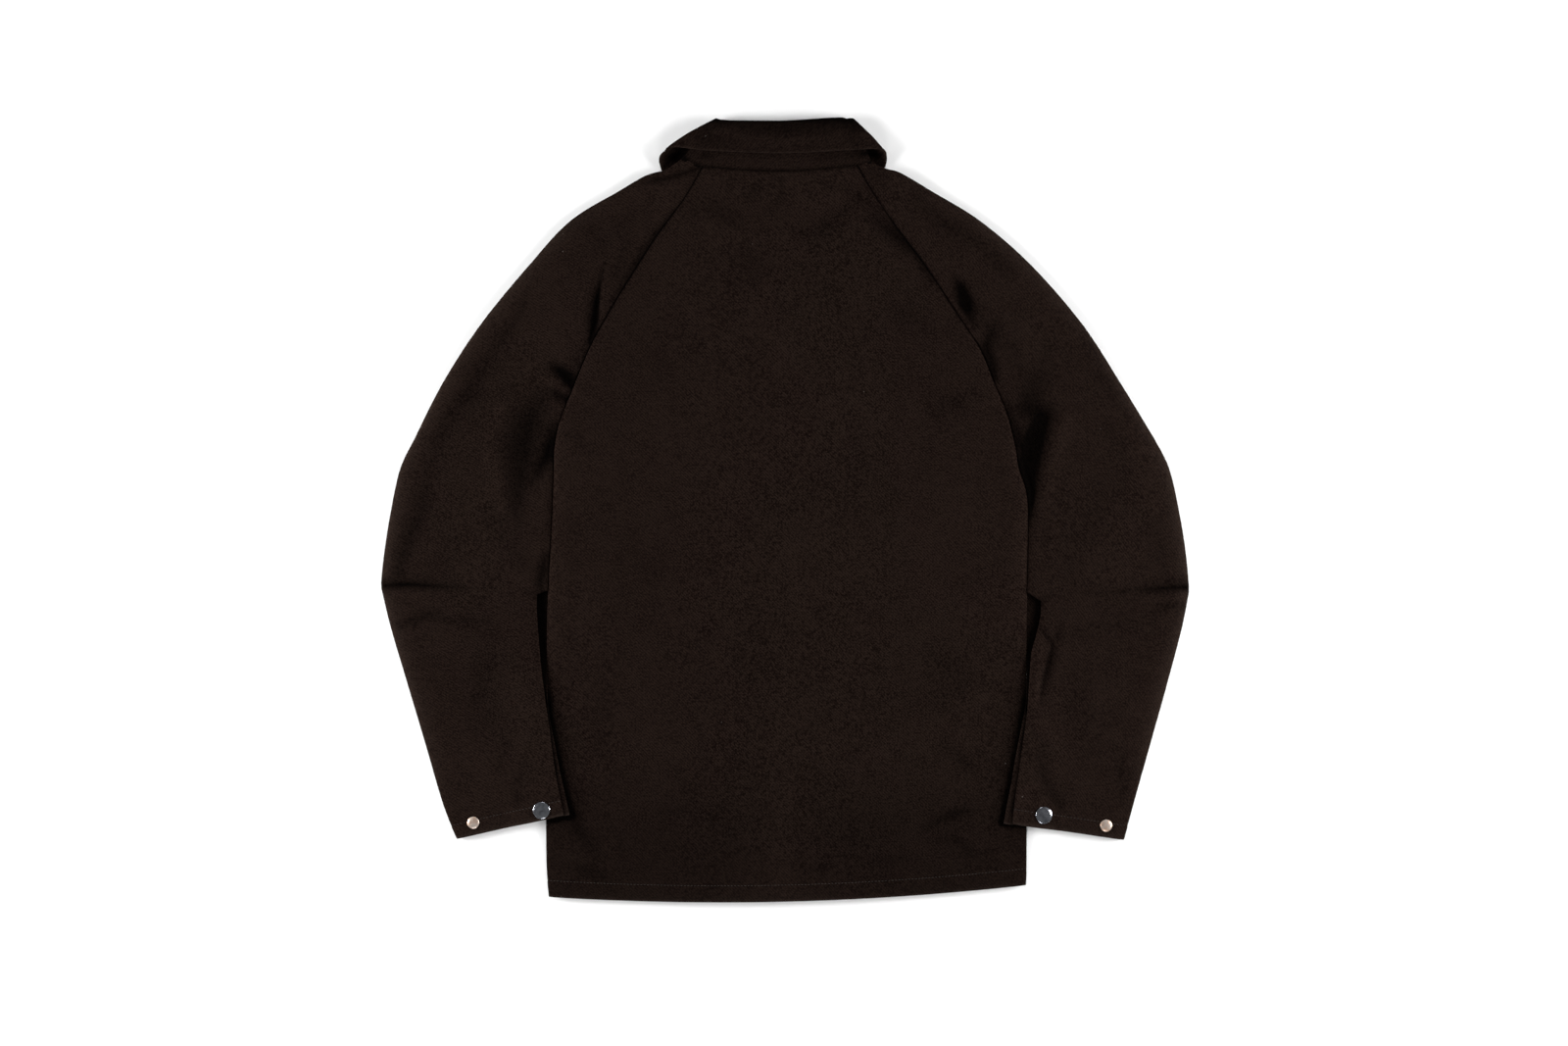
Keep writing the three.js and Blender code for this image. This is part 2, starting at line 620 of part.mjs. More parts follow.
// Fastenings on the cuffs, where they show: a snap near the underarm seam and a rivet near the outer fold
const CUFF_FASTENINGS = table(
  "name kind arm x y",
  ["snap_cuff_left", "snap", "left", -248, -306],
  ["rivet_cuff_left", "rivet", "left", -318, -319],
  ["snap_cuff_right", "snap", "right", 263.7, -311],
  ["rivet_cuff_right", "rivet", "right", 327.6, -322],
);

/** Seats a cap on the cloth of a back sleeve, tilted as the cloth lies there. */
function seatOnSleeve(arm, x, y, radius) {
  const top = (px, py) => sleeveHeight(px, py) + relief(FOLDS[arm], px, py) + CLOTH / 2;
  const slopeX = (top(x + radius, y) - top(x - radius, y)) / (2 * radius);
  const slopeY = (top(x, y + radius) - top(x, y - radius)) / (2 * radius);
  let lift = 0;
  for (let i = 0; i < CAP_SIDES; i++) {
    const dx = radius * Math.cos((2 * Math.PI * i) / CAP_SIDES);
    const dy = radius * Math.sin((2 * Math.PI * i) / CAP_SIDES);
    lift = Math.max(lift, top(x + dx, y + dy) - top(x, y) - slopeX * dx - slopeY * dy);
  }
  const seat = new THREE.Object3D();
  seat.position.set(x, y, top(x, y) + lift + SEAM);
  const away = new THREE.Vector3(-slopeX, -slopeY, 1).normalize();
  seat.quaternion.setFromUnitVectors(new THREE.Vector3(0, 0, 1), away);
  return seat;
}

const jacket = new THREE.Group();
const twill = new THREE.MeshStandardMaterial({ color: 0x1c1411, roughness: 0.95, metalness: 0 });
const steel = new THREE.MeshStandardMaterial({ color: 0xb9bcc2, roughness: 0.2, metalness: 1 });
const copper = new THREE.MeshStandardMaterial({ color: 0xd9a184, roughness: 0.4, metalness: 1 });

/** Adds a named piece of the jacket, placed as its seat is. */
function add(name, geometry, material, seat = new THREE.Object3D()) {
  const piece = new THREE.Mesh(geometry, material);
  piece.name = name;
  piece.position.copy(seat.position);
  piece.quaternion.copy(seat.quaternion);
  jacket.add(piece);
}

add("back", makeBack(), twill);
add("front_left", makeFront(LEFT), twill);
add("front_right", makeFront(RIGHT), twill);
add("sleeve_back_left", makeSleeve(LEFT, "upper"), twill);
add("sleeve_front_left", makeSleeve(LEFT, "lower"), twill);
add("sleeve_back_right", makeSleeve(RIGHT, "upper"), twill);
add("sleeve_front_right", makeSleeve(RIGHT, "lower"), twill);
add("collar", makeCollar(), twill);

for (const { name, kind, arm, x, y } of CUFF_FASTENINGS) {
  const size = kind === "snap" ? SNAP : RIVET;
  add(name, makeCap(size), kind === "snap" ? steel : copper, seatOnSleeve(arm, x, y, size.radius));
}
for (let i = 0; i < FRONT_SNAPS.count; i++) {
  const y = THREE.MathUtils.lerp(FRONT_SNAPS.top, FRONT_SNAPS.bottom, i / (FRONT_SNAPS.count - 1));
  const cap = makeCap(SNAP).rotateX(Math.PI).translate(0, y, SNAP.height);
  add(`snap_front_${i + 1}`, cap, steel);
}

export default jacket;
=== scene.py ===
import logging
import math
from dataclasses import dataclass, field
from enum import Enum
from typing import Callable

import bpy
import numpy as np
from mathutils import Matrix, Vector


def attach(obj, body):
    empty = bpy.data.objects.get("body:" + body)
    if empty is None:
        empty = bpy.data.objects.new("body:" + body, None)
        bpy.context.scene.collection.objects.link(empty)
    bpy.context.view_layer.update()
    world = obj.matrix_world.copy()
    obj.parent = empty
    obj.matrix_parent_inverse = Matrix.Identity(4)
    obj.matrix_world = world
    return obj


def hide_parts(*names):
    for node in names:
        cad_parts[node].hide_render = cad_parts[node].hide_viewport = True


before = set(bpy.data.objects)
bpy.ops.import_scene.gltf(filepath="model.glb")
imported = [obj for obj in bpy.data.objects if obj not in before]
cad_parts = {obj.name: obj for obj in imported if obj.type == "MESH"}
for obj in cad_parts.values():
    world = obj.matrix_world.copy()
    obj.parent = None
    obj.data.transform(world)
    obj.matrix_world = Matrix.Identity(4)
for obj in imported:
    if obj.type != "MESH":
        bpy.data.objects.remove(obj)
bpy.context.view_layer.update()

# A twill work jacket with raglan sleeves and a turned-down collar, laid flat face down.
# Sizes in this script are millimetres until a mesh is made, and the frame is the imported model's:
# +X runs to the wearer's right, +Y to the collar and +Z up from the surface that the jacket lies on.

MM = 0.001
QUARTER = math.pi / 2
Array = np.ndarray
Height = Callable[[Array, Array], Array]
log = logging.getLogger("jacket")


def smooth(start: float, end: float, value: Array) -> Array:
    """0 before start, 1 after end and smooth between; start may be the larger.

    Args:
        start: Where the value starts to count.
        end: Where it counts fully.
        value: The numbers to ease.

    Returns:
        The eased numbers, from 0 to 1.
    """
    t = np.clip((value - start) / (end - start), 0.0, 1.0)
    return t * t * (3.0 - 2.0 * t)


@dataclass(frozen=True)
class SmoothCurve:
    """A smooth curve on the surface through a few points."""

    points: tuple[tuple[float, float], ...]

    def _trace(self, steps: int = 400) -> tuple[Array, Array]:
        """Points along the curve, and the length up to each of them.

        Args:
            steps: How many steps the curve is traced in.

        Returns:
            The points, and the length up to each of them.
        """
        corner = np.array(self.points, dtype=float)
        last = len(corner) - 1
        at = np.linspace(0.0, last, steps + 1)
        i = np.minimum(at.astype(int), last - 1)
        t = (at - i)[:, None]
        before, start, end, after = (corner[np.clip(i + k, 0, last)] for k in (-1, 0, 1, 2))
        v0, v1 = (end - before) * 0.5, (after - start) * 0.5
        path = ((2 * start - 2 * end + v0 + v1) * t**3 + (-3 * start + 3 * end - 2 * v0 - v1) * t**2
                + v0 * t + start)
        step = np.linalg.norm(np.diff(path, axis=0), axis=1)
        return path, np.concatenate([[0.0], np.cumsum(step)])

    @property
    def length(self) -> float:
        """The curve's length."""
        return float(self._trace()[1][-1])

    def at(self, share: Array) -> Array:
        """Points at shares of the curve's length.

        Args:
            share: Shares, from 0 to 1.

        Returns:
            One row of x and y for each share.
        """
        path, run = self._trace()
        want = np.asarray(share) * run[-1]
        return np.stack([np.interp(want, run, path[:, k]) for k in (0, 1)], axis=1)


class FoldKind(Enum):
    """How the cloth bends at a fold."""

    SOFT = "an even hollow"
    SHARP = "a pinched line with a narrow bottom"
    STEEP_LEFT = "falls steeply on the left of its path and rises softly on the right"
    STEEP_RIGHT = "falls steeply on the right of its path and rises softly on the left"


@dataclass(frozen=True)
class Fold:
    """A fold along a smooth path whose places each hold x, y, the fold's half width and its depth.

    A negative depth makes a ridge.
    """

    path: tuple[tuple[float, float, float, float], ...]
    kind: FoldKind = FoldKind.SOFT
    step: float = 2.0

    def hollow(self, x: Array, y: Array) -> Array:
        """How deep the fold is.

        Args:
            x: Across the jacket.
            y: Up the jacket.

        Returns:
            The depth at each point, in millimetres.
        """
        places = np.array(self.path, dtype=float)
        curve = SmoothCurve(tuple((px, py) for px, py in places[:, :2]))
        count = max(int(curve.length / self.step), 4)
        spine = curve.at(np.linspace(0, 1, count + 1))
        run = np.concatenate([[0], np.cumsum(np.linalg.norm(np.diff(places[:, :2], axis=0), axis=1))])
        share = np.linspace(0, run[-1], count + 1)
        width, depth = np.interp(share, run, places[:, 2]), np.interp(share, run, places[:, 3])
        reach = 2.6 * width.max()
        near = ((x > spine[:, 0].min() - reach) & (x < spine[:, 0].max() + reach)
                & (y > spine[:, 1].min() - reach) & (y < spine[:, 1].max() + reach))
        result = np.zeros_like(x)
        if not near.any():
            return result
        dx = x[near][:, None] - spine[None, :, 0]
        dy = y[near][:, None] - spine[None, :, 1]
        distance = np.hypot(dx, dy)
        along = np.gradient(spine, axis=0)
        along /= np.linalg.norm(along, axis=1, keepdims=True)
        aside = (dx * along[None, :, 1] - dy * along[None, :, 0]) / np.maximum(distance, 1e-6)
        if self.kind is FoldKind.SHARP:
            shape = np.exp(-1.6 * distance / width)
        else:
            lean = {FoldKind.SOFT: 0.0, FoldKind.STEEP_LEFT: -1.0, FoldKind.STEEP_RIGHT: 1.0}[self.kind]
            narrow = 1 + 1.2 * np.clip(aside * lean, 0, 1)
            shape = np.exp(-((distance * narrow / width) ** 2))
        deepest = np.max(shape * np.abs(depth), axis=1)
        result[near] = deepest * math.copysign(1.0, places[:, 3].sum())
        return result


def hollows(folds: tuple[Fold, ...], x: Array, y: Array) -> Array:
    """How deep a set of folds is together; hollows that meet don't add up.

    Args:
        folds: The folds.
        x: Across the jacket.
        y: Up the jacket.

    Returns:
        The depth at each point.
    """
    deep, high = np.zeros_like(x), np.zeros_like(x)
    for fold in folds:
        depth = fold.hollow(x, y)
        deep = np.hypot(deep, np.maximum(depth, 0)) * 0.5 + np.maximum(deep, depth) * 0.5
        high = np.minimum(high, depth)
    return deep + high


@dataclass(frozen=True)
class Lying:
    """How the jacket lies: the middle of each layer of cloth above the surface."""

    cloth: float = 1.2
    seam: float = 0.3
    sewn_gap: float = -0.3
    hem: float = 17.0
    cuff_hem: float = 15.0
    hem_extra: float = 0.8
    hem_step: float = 1.5
    upper_rest: float = 6.4
    centre_lift: float = 1.2
    neck_lift: float = 1.8
    side_drop: float = 2.8
    arm_lift: float = 2.4
    forearm_lift: float = 4.4
    leaf_lift: float = 2.6
    placket_lift: float = 2.1
    lap: float = 2.1
    front_neck_y: float = 279.0
    front_neck_x: float = 92.0
    front_neck_rise: float = 47.0

    def upper(self, x: Array, y: Array) -> Array:
        """The middle of the upper layer, shared by the back and the back sleeves.

        Args:
            x: Across the jacket.
            y: Up the jacket.

        Returns:
            The height at each point.
        """
        below = np.maximum(0.0, 344.5 + 16.0 * (x / 105.0) ** 2 - y)
        neck = np.exp(-((below / 50.0) ** 2)) * smooth(180, 120, np.abs(x))
        return self.upper_rest + self.centre_lift * np.exp(-((x / 110.0) ** 2)) + self.neck_lift * neck

    def back(self, x: Array, y: Array) -> Array:
        """The back, which sinks at the sides where the forearms lie on it."""
        along = smooth(-60, -130, y) * smooth(-385, -345, y)
        return self.upper(x, y) - self.side_drop * smooth(165, 216, np.abs(x)) * along

    def lower(self, x: Array, y: Array) -> Array:
        """The middle of the lower layer, shared by the fronts and the front sleeves.

        Args:
            x: Across the jacket.
            y: Up the jacket.

        Returns:
            The height at each point.
        """
        away = self._outside_leaf(x, y)
        below = np.maximum(
            0.0, self.front_neck_y + self.front_neck_rise * (x / self.front_neck_x) ** 2 - y)
        rise = 0.6 * smooth(14, 0, away) * smooth(24, 4, below)
        placket = self.placket_lift * smooth(52, 26, np.abs(x)) * smooth(-388, -350, y)
        return self.cloth / 2 + np.maximum(self.leaf_lift * smooth(34, 9, away) + rise, placket)

    def lower_lapped(self, x: Array, y: Array) -> Array:
        """The right front, which climbs over the left front."""
        return self.lower(x, y) + self.lap * smooth(34, 22, x)

    def forearm(self, x: Array, y: Array) -> Array:
        """How far a forearm is lifted where it climbs the side of the body."""
        return self.forearm_lift * smooth(290, 253, np.abs(x)) * smooth(-135, -175, y)

    def sleeve_top(self, x: Array, y: Array) -> Array:
        """The middle of a back sleeve, rounder at the upper arm."""
        puff = np.exp(-(((np.abs(x) - 318.0) / 62.0) ** 2) - ((y - 90.0) / 150.0) ** 2)
        return self.upper(x, y) + self.forearm(x, y) + self.arm_lift * puff

    def sleeve_bottom(self, x: Array, y: Array) -> Array:
        """The middle of a front sleeve."""
        return self.lower(x, y) + self.forearm(x, y)

    @staticmethod
    def _outside_leaf(x: Array, y: Array) -> Array:
        """How far a point lies outside the leaves of the collar.

        Args:
            x: Across the jacket.
            y: Up the jacket.

        Returns:
            The distance at each point.
        """
        side, tip, front = (131.0, 352.0), (50.0, 222.0), (3.0, 290.0)

        def beyond(a: tuple[float, float], b: tuple[float, float]) -> Array:
            """How far the points lie outside one edge of the leaf."""
            dx, dy = b[0] - a[0], b[1] - a[1]
            return ((np.abs(x) - a[0]) * -dy + (y - a[1]) * dx) / math.hypot(dx, dy)

        return np.maximum(0.0, np.maximum(beyond(side, tip), beyond(tip, front)))


LYING = Lying()


@dataclass(frozen=True)
class Ripple:
    """The soft unevenness of cloth that has been worn in and laid down by hand."""

    size: float
    seed: float

    def height(self, x: Array, y: Array) -> Array:
        """The height of the ripples at each point.

        Args:
            x: Across the jacket.
            y: Up the jacket.

        Returns:
            The height at each point.
        """
        waves = ((150, 0.4, 1.0), (97, 2.1, 0.8), (61, 1.2, 0.5), (38, 2.8, 0.3), (23, 0.9, 0.16))
        total = np.zeros_like(x)
        for i, (wavelength, angle, share) in enumerate(waves):
            turn = angle + 0.7 * self.seed
            run = x * math.cos(turn) + y * math.sin(turn)
            cross = -x * math.sin(turn) + y * math.cos(turn)
            phase = self.seed * 2.3 + i * 1.7
            bow = 0.8 * np.sin(2 * math.pi * cross / (wavelength * 1.9) + phase)
            total += share * np.sin(2 * math.pi * run / wavelength + phase + bow)
        return self.size * total / 2.0


@dataclass(frozen=True)
class Turning:
    """How a panel's edge turns over at a fold: how far in it starts, and the steps of its columns."""

    reach: float
    shares: tuple[float, ...]
    tuck: float = 14.0


UPPER_TURNING = Turning(8.0, (1.0, 0.96, 0.9, 0.82, 0.72, 0.6, 0.47, 0.34, 0.2, 0.08, 0.0))
LOWER_TURNING = Turning(4.0, (1.0, 0.93, 0.82, 0.68, 0.5, 0.3, 0.1, 0.0))
SLEEVE_TURNING = Turning(4.0, (1.0, 0.9, 0.8, 0.7, 0.6, 0.5, 0.42, 0.34, 0.25, 0.15, 0.06, 0.0))


@dataclass(frozen=True)
class Run:
    """A stretch of a panel between a left and a right edge."""

    left: SmoothCurve
    right: SmoothCurve
    shares: Array
    turn_left: Height
    turn_right: Height
    dip: Callable[[Array], Array] = field(default=lambda share: np.zeros_like(share))


@dataclass
class Panel:
    """A cut piece of cloth between two edges, laid in its layer."""

    runs: list[Run]
    columns: int
    turning: Turning
    is_upper: bool
    height: Height
    top: Height
    bottom: Height
    folds: tuple[Fold, ...] = ()
    ripple: Ripple = Ripple(0.0, 0.0)

    def middle(self) -> Array:
        """The grid of points on the middle of the cloth, rows from the collar down."""
        return np.concatenate([self._stretch(run) for run in self.runs], axis=0)

    def _stretch(self, run: Run) -> Array:
        """The grid of one run.

        Args:
            run: The run.

        Returns:
            An array of rows, columns and x, y, z.
        """
        corner = {"left": run.left.at(run.shares), "right": run.right.at(run.shares)}
        turn = {"left": run.turn_left(run.shares), "right": run.turn_right(run.shares)}
        width = np.linalg.norm(corner["right"] - corner["left"], axis=1)[:, None]
        along, depth = {}, {}
        for name, share in turn.items():
            angle = np.maximum(math.radians(3), share * QUARTER)[:, None]
            most = np.sin(np.minimum(angle, QUARTER))
            inset = LYING.sewn_gap / 2 + LYING.cloth / 2 * most
            at = angle * np.array(self.turning.shares)[None, :]
            reach = np.where((at > QUARTER) & (angle > QUARTER), self.turning.tuck, self.turning.reach)
            along[name] = inset + reach * (1 - np.sin(at) / most)
            depth[name] = 1 - np.cos(at)
        start, end = along["left"][:, -1:], width - along["right"][:, -1:]
        between = np.linspace(0, 1, self.columns + 1)[None, 1:-1]
        run_across = np.concatenate(
            [along["left"], start + (end - start) * between, (width - along["right"])[:, ::-1]], axis=1)
        deep = np.concatenate(
            [depth["left"], np.zeros((len(width), self.columns - 1)), depth["right"][:, ::-1]], axis=1)
        t = run_across / width
        first, second = corner["left"][:, None, :], corner["right"][:, None, :]
        plan = first + (second - first) * t[..., None]
        x = plan[..., 0]
        y = plan[..., 1] - run.dip(run.shares)[:, None] * 4 * t * (1 - t)
        z = self.height(x, y)
        is_left = t < 0.5
        corner_x = np.where(is_left, first[..., 0], second[..., 0])
        corner_y = np.where(is_left, first[..., 1], second[..., 1])
        meeting = (self.top(corner_x, corner_y) + self.bottom(corner_x, corner_y)) / 2
        side_turn = np.where(is_left, turn["left"][:, None], turn["right"][:, None])
        extra = LYING.cloth + LYING.seam + LYING.hem_extra
        under = np.maximum(0.0, side_turn - 1) * (0.0 if self.is_upper else extra)
        gap = LYING.sewn_gap if self.is_upper else -LYING.sewn_gap - under
        fall = self.height(corner_x, corner_y) - meeting - gap / 2
        if self.is_upper:
            inside = smooth(0, 6, np.minimum(run_across, width - run_across))
            z = z - inside * hollows(self.folds, x, y)
            z = z + smooth(0, 30, np.minimum(run_across, width - run_across)) * self.ripple.height(x, y)
        return np.stack([x, y, z - fall * deep], axis=2)


RIM = (0.0, 0.06, 0.22, 0.6)


def rimmed(grid: Array) -> Array:
    """Adds close rows and columns just inside each edge, so that the edge can be rounded.

    Args:
        grid: Points of rows, columns and x, y, z.

    Returns:
        The grid with the extra rows and columns.
    """
    for axis in (0, 1):
        for _ in range(2):
            lines = np.moveaxis(grid, axis, 0)
            step = lines[1] - lines[0]
            length = np.maximum(np.linalg.norm(step, axis=-1, keepdims=True), 1e-6)
            reach = np.minimum(RIM[-1], length * 0.8) / RIM[-1]
            close = [lines[0] + step / length * (d * reach) for d in RIM]
            lines = np.concatenate([np.stack(close), lines[1:]], axis=0)[::-1]
            grid = np.moveaxis(lines, 0, axis)
    return grid


@dataclass
class ClothShell:
    """A closed wall of cloth round a grid of points on its middle, with rounded edges."""

    name: str
    middle: Array
    thickness: float
    outward: float
    extra_inside: Callable[["ClothShell"], Array] | None = None
    relief_outside: Callable[["ClothShell"], Array] | None = None
    # wear gives edge wear with a painted edge highlight; shade gives painted shade, negative for a painted
    # highlight.
    wear: Callable[["ClothShell"], Array] | None = None
    shade: Callable[["ClothShell"], Array] | None = None

    def __post_init__(self) -> None:
        """Works out the distances along the grid, and the two faces of the cloth."""
        grid = rimmed(self.middle)
        down = np.gradient(grid, axis=0)
        over = np.gradient(grid, axis=1)
        normal = np.cross(down, over)
        normal /= np.maximum(np.linalg.norm(normal, axis=2, keepdims=True), 1e-9)
        self.grid = grid
        self.normal = normal * self.outward
        row_step = np.linalg.norm(np.diff(grid, axis=0), axis=2)
        column_step = np.linalg.norm(np.diff(grid, axis=1), axis=2)
        zero_row, zero_column = np.zeros((1, grid.shape[1])), np.zeros((grid.shape[0], 1))
        self.from_top = np.concatenate([zero_row, np.cumsum(row_step, axis=0)], axis=0)
        self.from_left = np.concatenate([zero_column, np.cumsum(column_step, axis=1)], axis=1)
        self.from_bottom = self.from_top[-1:] - self.from_top
        self.from_right = self.from_left[:, -1:] - self.from_left
        nearest = np.minimum(np.minimum(self.from_top, self.from_bottom),
                             np.minimum(self.from_left, self.from_right))
        open_share = np.clip(nearest / RIM[-1], 0.0, 1.0)
        rounding = np.sqrt(1 - (1 - open_share) ** 2)
        half = self.thickness / 2
        relief = self.relief_outside(self) if self.relief_outside else 0.0
        extra = self.extra_inside(self) if self.extra_inside else 0.0
        self.outer = grid + self.normal * ((half + relief) * rounding)[..., None]
        self.inner = grid - self.normal * ((half + extra) * rounding)[..., None]

    def build(self) -> bpy.types.Object:
        """Makes the mesh, whose two faces share their edge.

        Returns:
            The new object.
        """
        rows, columns = self.grid.shape[:2]
        count = rows * columns
        outer_index = np.arange(count).reshape(rows, columns)
        inner_index = outer_index.copy()
        inside = np.zeros((rows, columns), dtype=bool)
        inside[1:-1, 1:-1] = True
        inner_index[inside] = count + np.arange(int(inside.sum()))
        vertices = np.concatenate([self.outer.reshape(-1, 3), self.inner[inside]])
        a, b = outer_index[:-1, :-1], outer_index[1:, :-1]
        c, d = outer_index[1:, 1:], outer_index[:-1, 1:]
        upper = np.stack([a, b, c, d], axis=-1).reshape(-1, 4)
        a, b = inner_index[:-1, :-1], inner_index[1:, :-1]
        c, d = inner_index[1:, 1:], inner_index[:-1, 1:]
        lower = np.stack([a, d, c, b], axis=-1).reshape(-1, 4)
        faces = np.concatenate([upper, lower])
        if self.outward < 0:
            faces = faces[:, ::-1]
        thing = mesh_object(self.name, vertices, faces)
        # The first attribute carries wear and painted edge highlights, the second painted shade and
        # highlights.
        for name, measure in (("edge_wear", self.wear), ("crease_shade", self.shade)):
            amount = measure(self) if measure else np.zeros((rows, columns))
            values = np.concatenate([amount.reshape(-1), amount[inside]])
            attribute = thing.data.attributes.new(name, "FLOAT", "POINT")
            attribute.data.foreach_set("value", np.ascontiguousarray(values, dtype=np.float32))
        log.info("%s: %d faces", self.name, len(faces))
        return thing


def mesh_object(name: str, vertices: Array, faces: Array) -> bpy.types.Object:
    """Makes a smooth-shaded mesh object from points in millimetres.

    Args:
        name: The object's name.
        vertices: One row of x, y, z for each point.
        faces: One row of four corners for each face.

    Returns:
        The object, linked to the scene.
    """
    mesh = bpy.data.meshes.new(name)
    mesh.from_pydata((vertices * MM).tolist(), [], faces.tolist())
    mesh.validate()
    mesh.shade_smooth()
    mesh.update()
    thing = bpy.data.objects.new(name, mesh)
    bpy.context.scene.collection.objects.link(thing)
    return thing


@dataclass
class StitchLine:
    """A row of short thread stitches along a path on the cloth."""

    name: str
    path: Array
    normal: Array
    pitch: float = 3.4
    length: float = 2.3
    width: float = 0.5
    height: float = 0.32
    sides: int = 6

    def build(self) -> bpy.types.Object:
        """Makes all stitches of the line as one mesh.

        Returns:
            The new object.
        """
        step = np.linalg.norm(np.diff(self.path, axis=0), axis=1)
        run = np.concatenate([[0.0], np.cumsum(step)])
        count = max(int(run[-1] / self.pitch), 1)
        middle = (np.arange(count) + 0.5) * run[-1] / count
        stations = np.array([-0.5, -0.38, 0.0, 0.38, 0.5])
        swell = np.array([0.12, 0.8, 1.0, 0.8, 0.12])
        dip = np.array([-0.25, -0.05, 0.12, -0.05, -0.25])
        wobble = 0.12 * np.sin(np.arange(count) * 2.7) + 0.08 * np.sin(np.arange(count) * 1.1)
        vertices, faces = [], []
        for i, centre in enumerate(middle):
            at = centre + stations * self.length * (1 + wobble[i])
            spine = np.stack([np.interp(at, run, self.path[:, k]) for k in range(3)], axis=1)
            up = np.array([np.interp(centre, run, self.normal[:, k]) for k in range(3)])
            along = spine[-1] - spine[0]
            along /= max(np.linalg.norm(along), 1e-9)
            side = np.cross(up, along)
            base = len(vertices)
            for k in range(len(stations)):
                for j in range(self.sides):
                    angle = 2 * math.pi * j / self.sides
                    out = side * math.cos(angle) * self.width / 2 * swell[k]
                    rise = up * (math.sin(angle) * self.height / 2 * swell[k] + dip[k])
                    vertices.append(spine[k] + out + rise)
            for k in range(len(stations) - 1):
                for j in range(self.sides):
                    after = (j + 1) % self.sides
                    low, high = base + k * self.sides, base + (k + 1) * self.sides
                    faces.append((low + j, low + after, high + after, high + j))
            last = base + (len(stations) - 1) * self.sides
            for ring, order in ((base, (0, 5, 4, 3)), (base, (3, 2, 1, 0)),
                                (last, (0, 1, 2, 3)), (last, (3, 4, 5, 0))):
                faces.append(tuple(ring + j for j in order))
        thing = mesh_object(self.name, np.array(vertices), np.array(faces))
        log.info("%s: %d stitches", self.name, count)
        return thing


# Finishes

def value_noise(tree: bpy.types.NodeTree, vector: bpy.types.NodeSocket, scale: float, detail: float = 3.0
                ) -> bpy.types.NodeSocket:
    """Adds a noise texture and gives its value socket.

    Args:
        tree: The node tree.
        vector: The place to sample.
        scale: The noise's scale.
        detail: The noise's detail.

    Returns:
        The noise's value.
    """
    node = tree.nodes.new("ShaderNodeTexNoise")
    node.inputs["Scale"].default_value = scale
    node.inputs["Detail"].default_value = detail
    tree.links.new(vector, node.inputs["Vector"])
    return node.outputs["Fac"]


def calculate(tree: bpy.types.NodeTree, operation: str, *values: object) -> bpy.types.NodeSocket:
    """Adds a Math node whose inputs are sockets or numbers, and gives its output.

    Args:
        tree: The node tree.
        operation: What the node does.

    Returns:
        The result.
    """
    node = tree.nodes.new("ShaderNodeMath")
    node.operation = operation
    for slot, value in zip(node.inputs, values):
        if isinstance(value, bpy.types.NodeSocket):
            tree.links.new(value, slot)
        else:
            slot.default_value = value
    return node.outputs[0]


def ramp(tree: bpy.types.NodeTree, value: bpy.types.NodeSocket, low: float, high: float,
         to_low: float = 0.0, to_high: float = 1.0) -> bpy.types.NodeSocket:
    """Adds a clamped Map Range node and gives its result.

    Args:
        tree: The node tree.
        value: The value to map.
        low: The result at the start.
        high: The result at the end.
        to_low: The result at the start.
        to_high: The result at the end.

    Returns:
        The mapped value.
    """
    node = tree.nodes.new("ShaderNodeMapRange")
    for name, number in (("From Min", low), ("From Max", high), ("To Min", to_low), ("To Max", to_high)):
        node.inputs[name].default_value = number
    tree.links.new(value, node.inputs["Value"])
    return node.outputs["Result"]


def blended(tree: bpy.types.NodeTree, share: bpy.types.NodeSocket | None, first: object, second: object,
            mode: str = "MIX") -> bpy.types.NodeSocket:
    """Adds a colour Mix node and gives its result.

    Args:
        tree: The node tree.
        share: How much of the second shows; None for all of it.
        first: A socket or a colour.
        second: A socket or a colour.
        mode: The blend type.

    Returns:
        The mixed colour.
    """
    node = tree.nodes.new("ShaderNodeMix")
    node.data_type = "RGBA"
    node.blend_type = mode
    if share is None:
        node.inputs["Factor"].default_value = 1.0
    else:
        tree.links.new(share, node.inputs["Factor"])
    for slot, value in ((node.inputs[6], first), (node.inputs[7], second)):
        if isinstance(value, bpy.types.NodeSocket):
            tree.links.new(value, slot)
        else:
            slot.default_value = (*value, 1.0)
    return node.outputs[2]


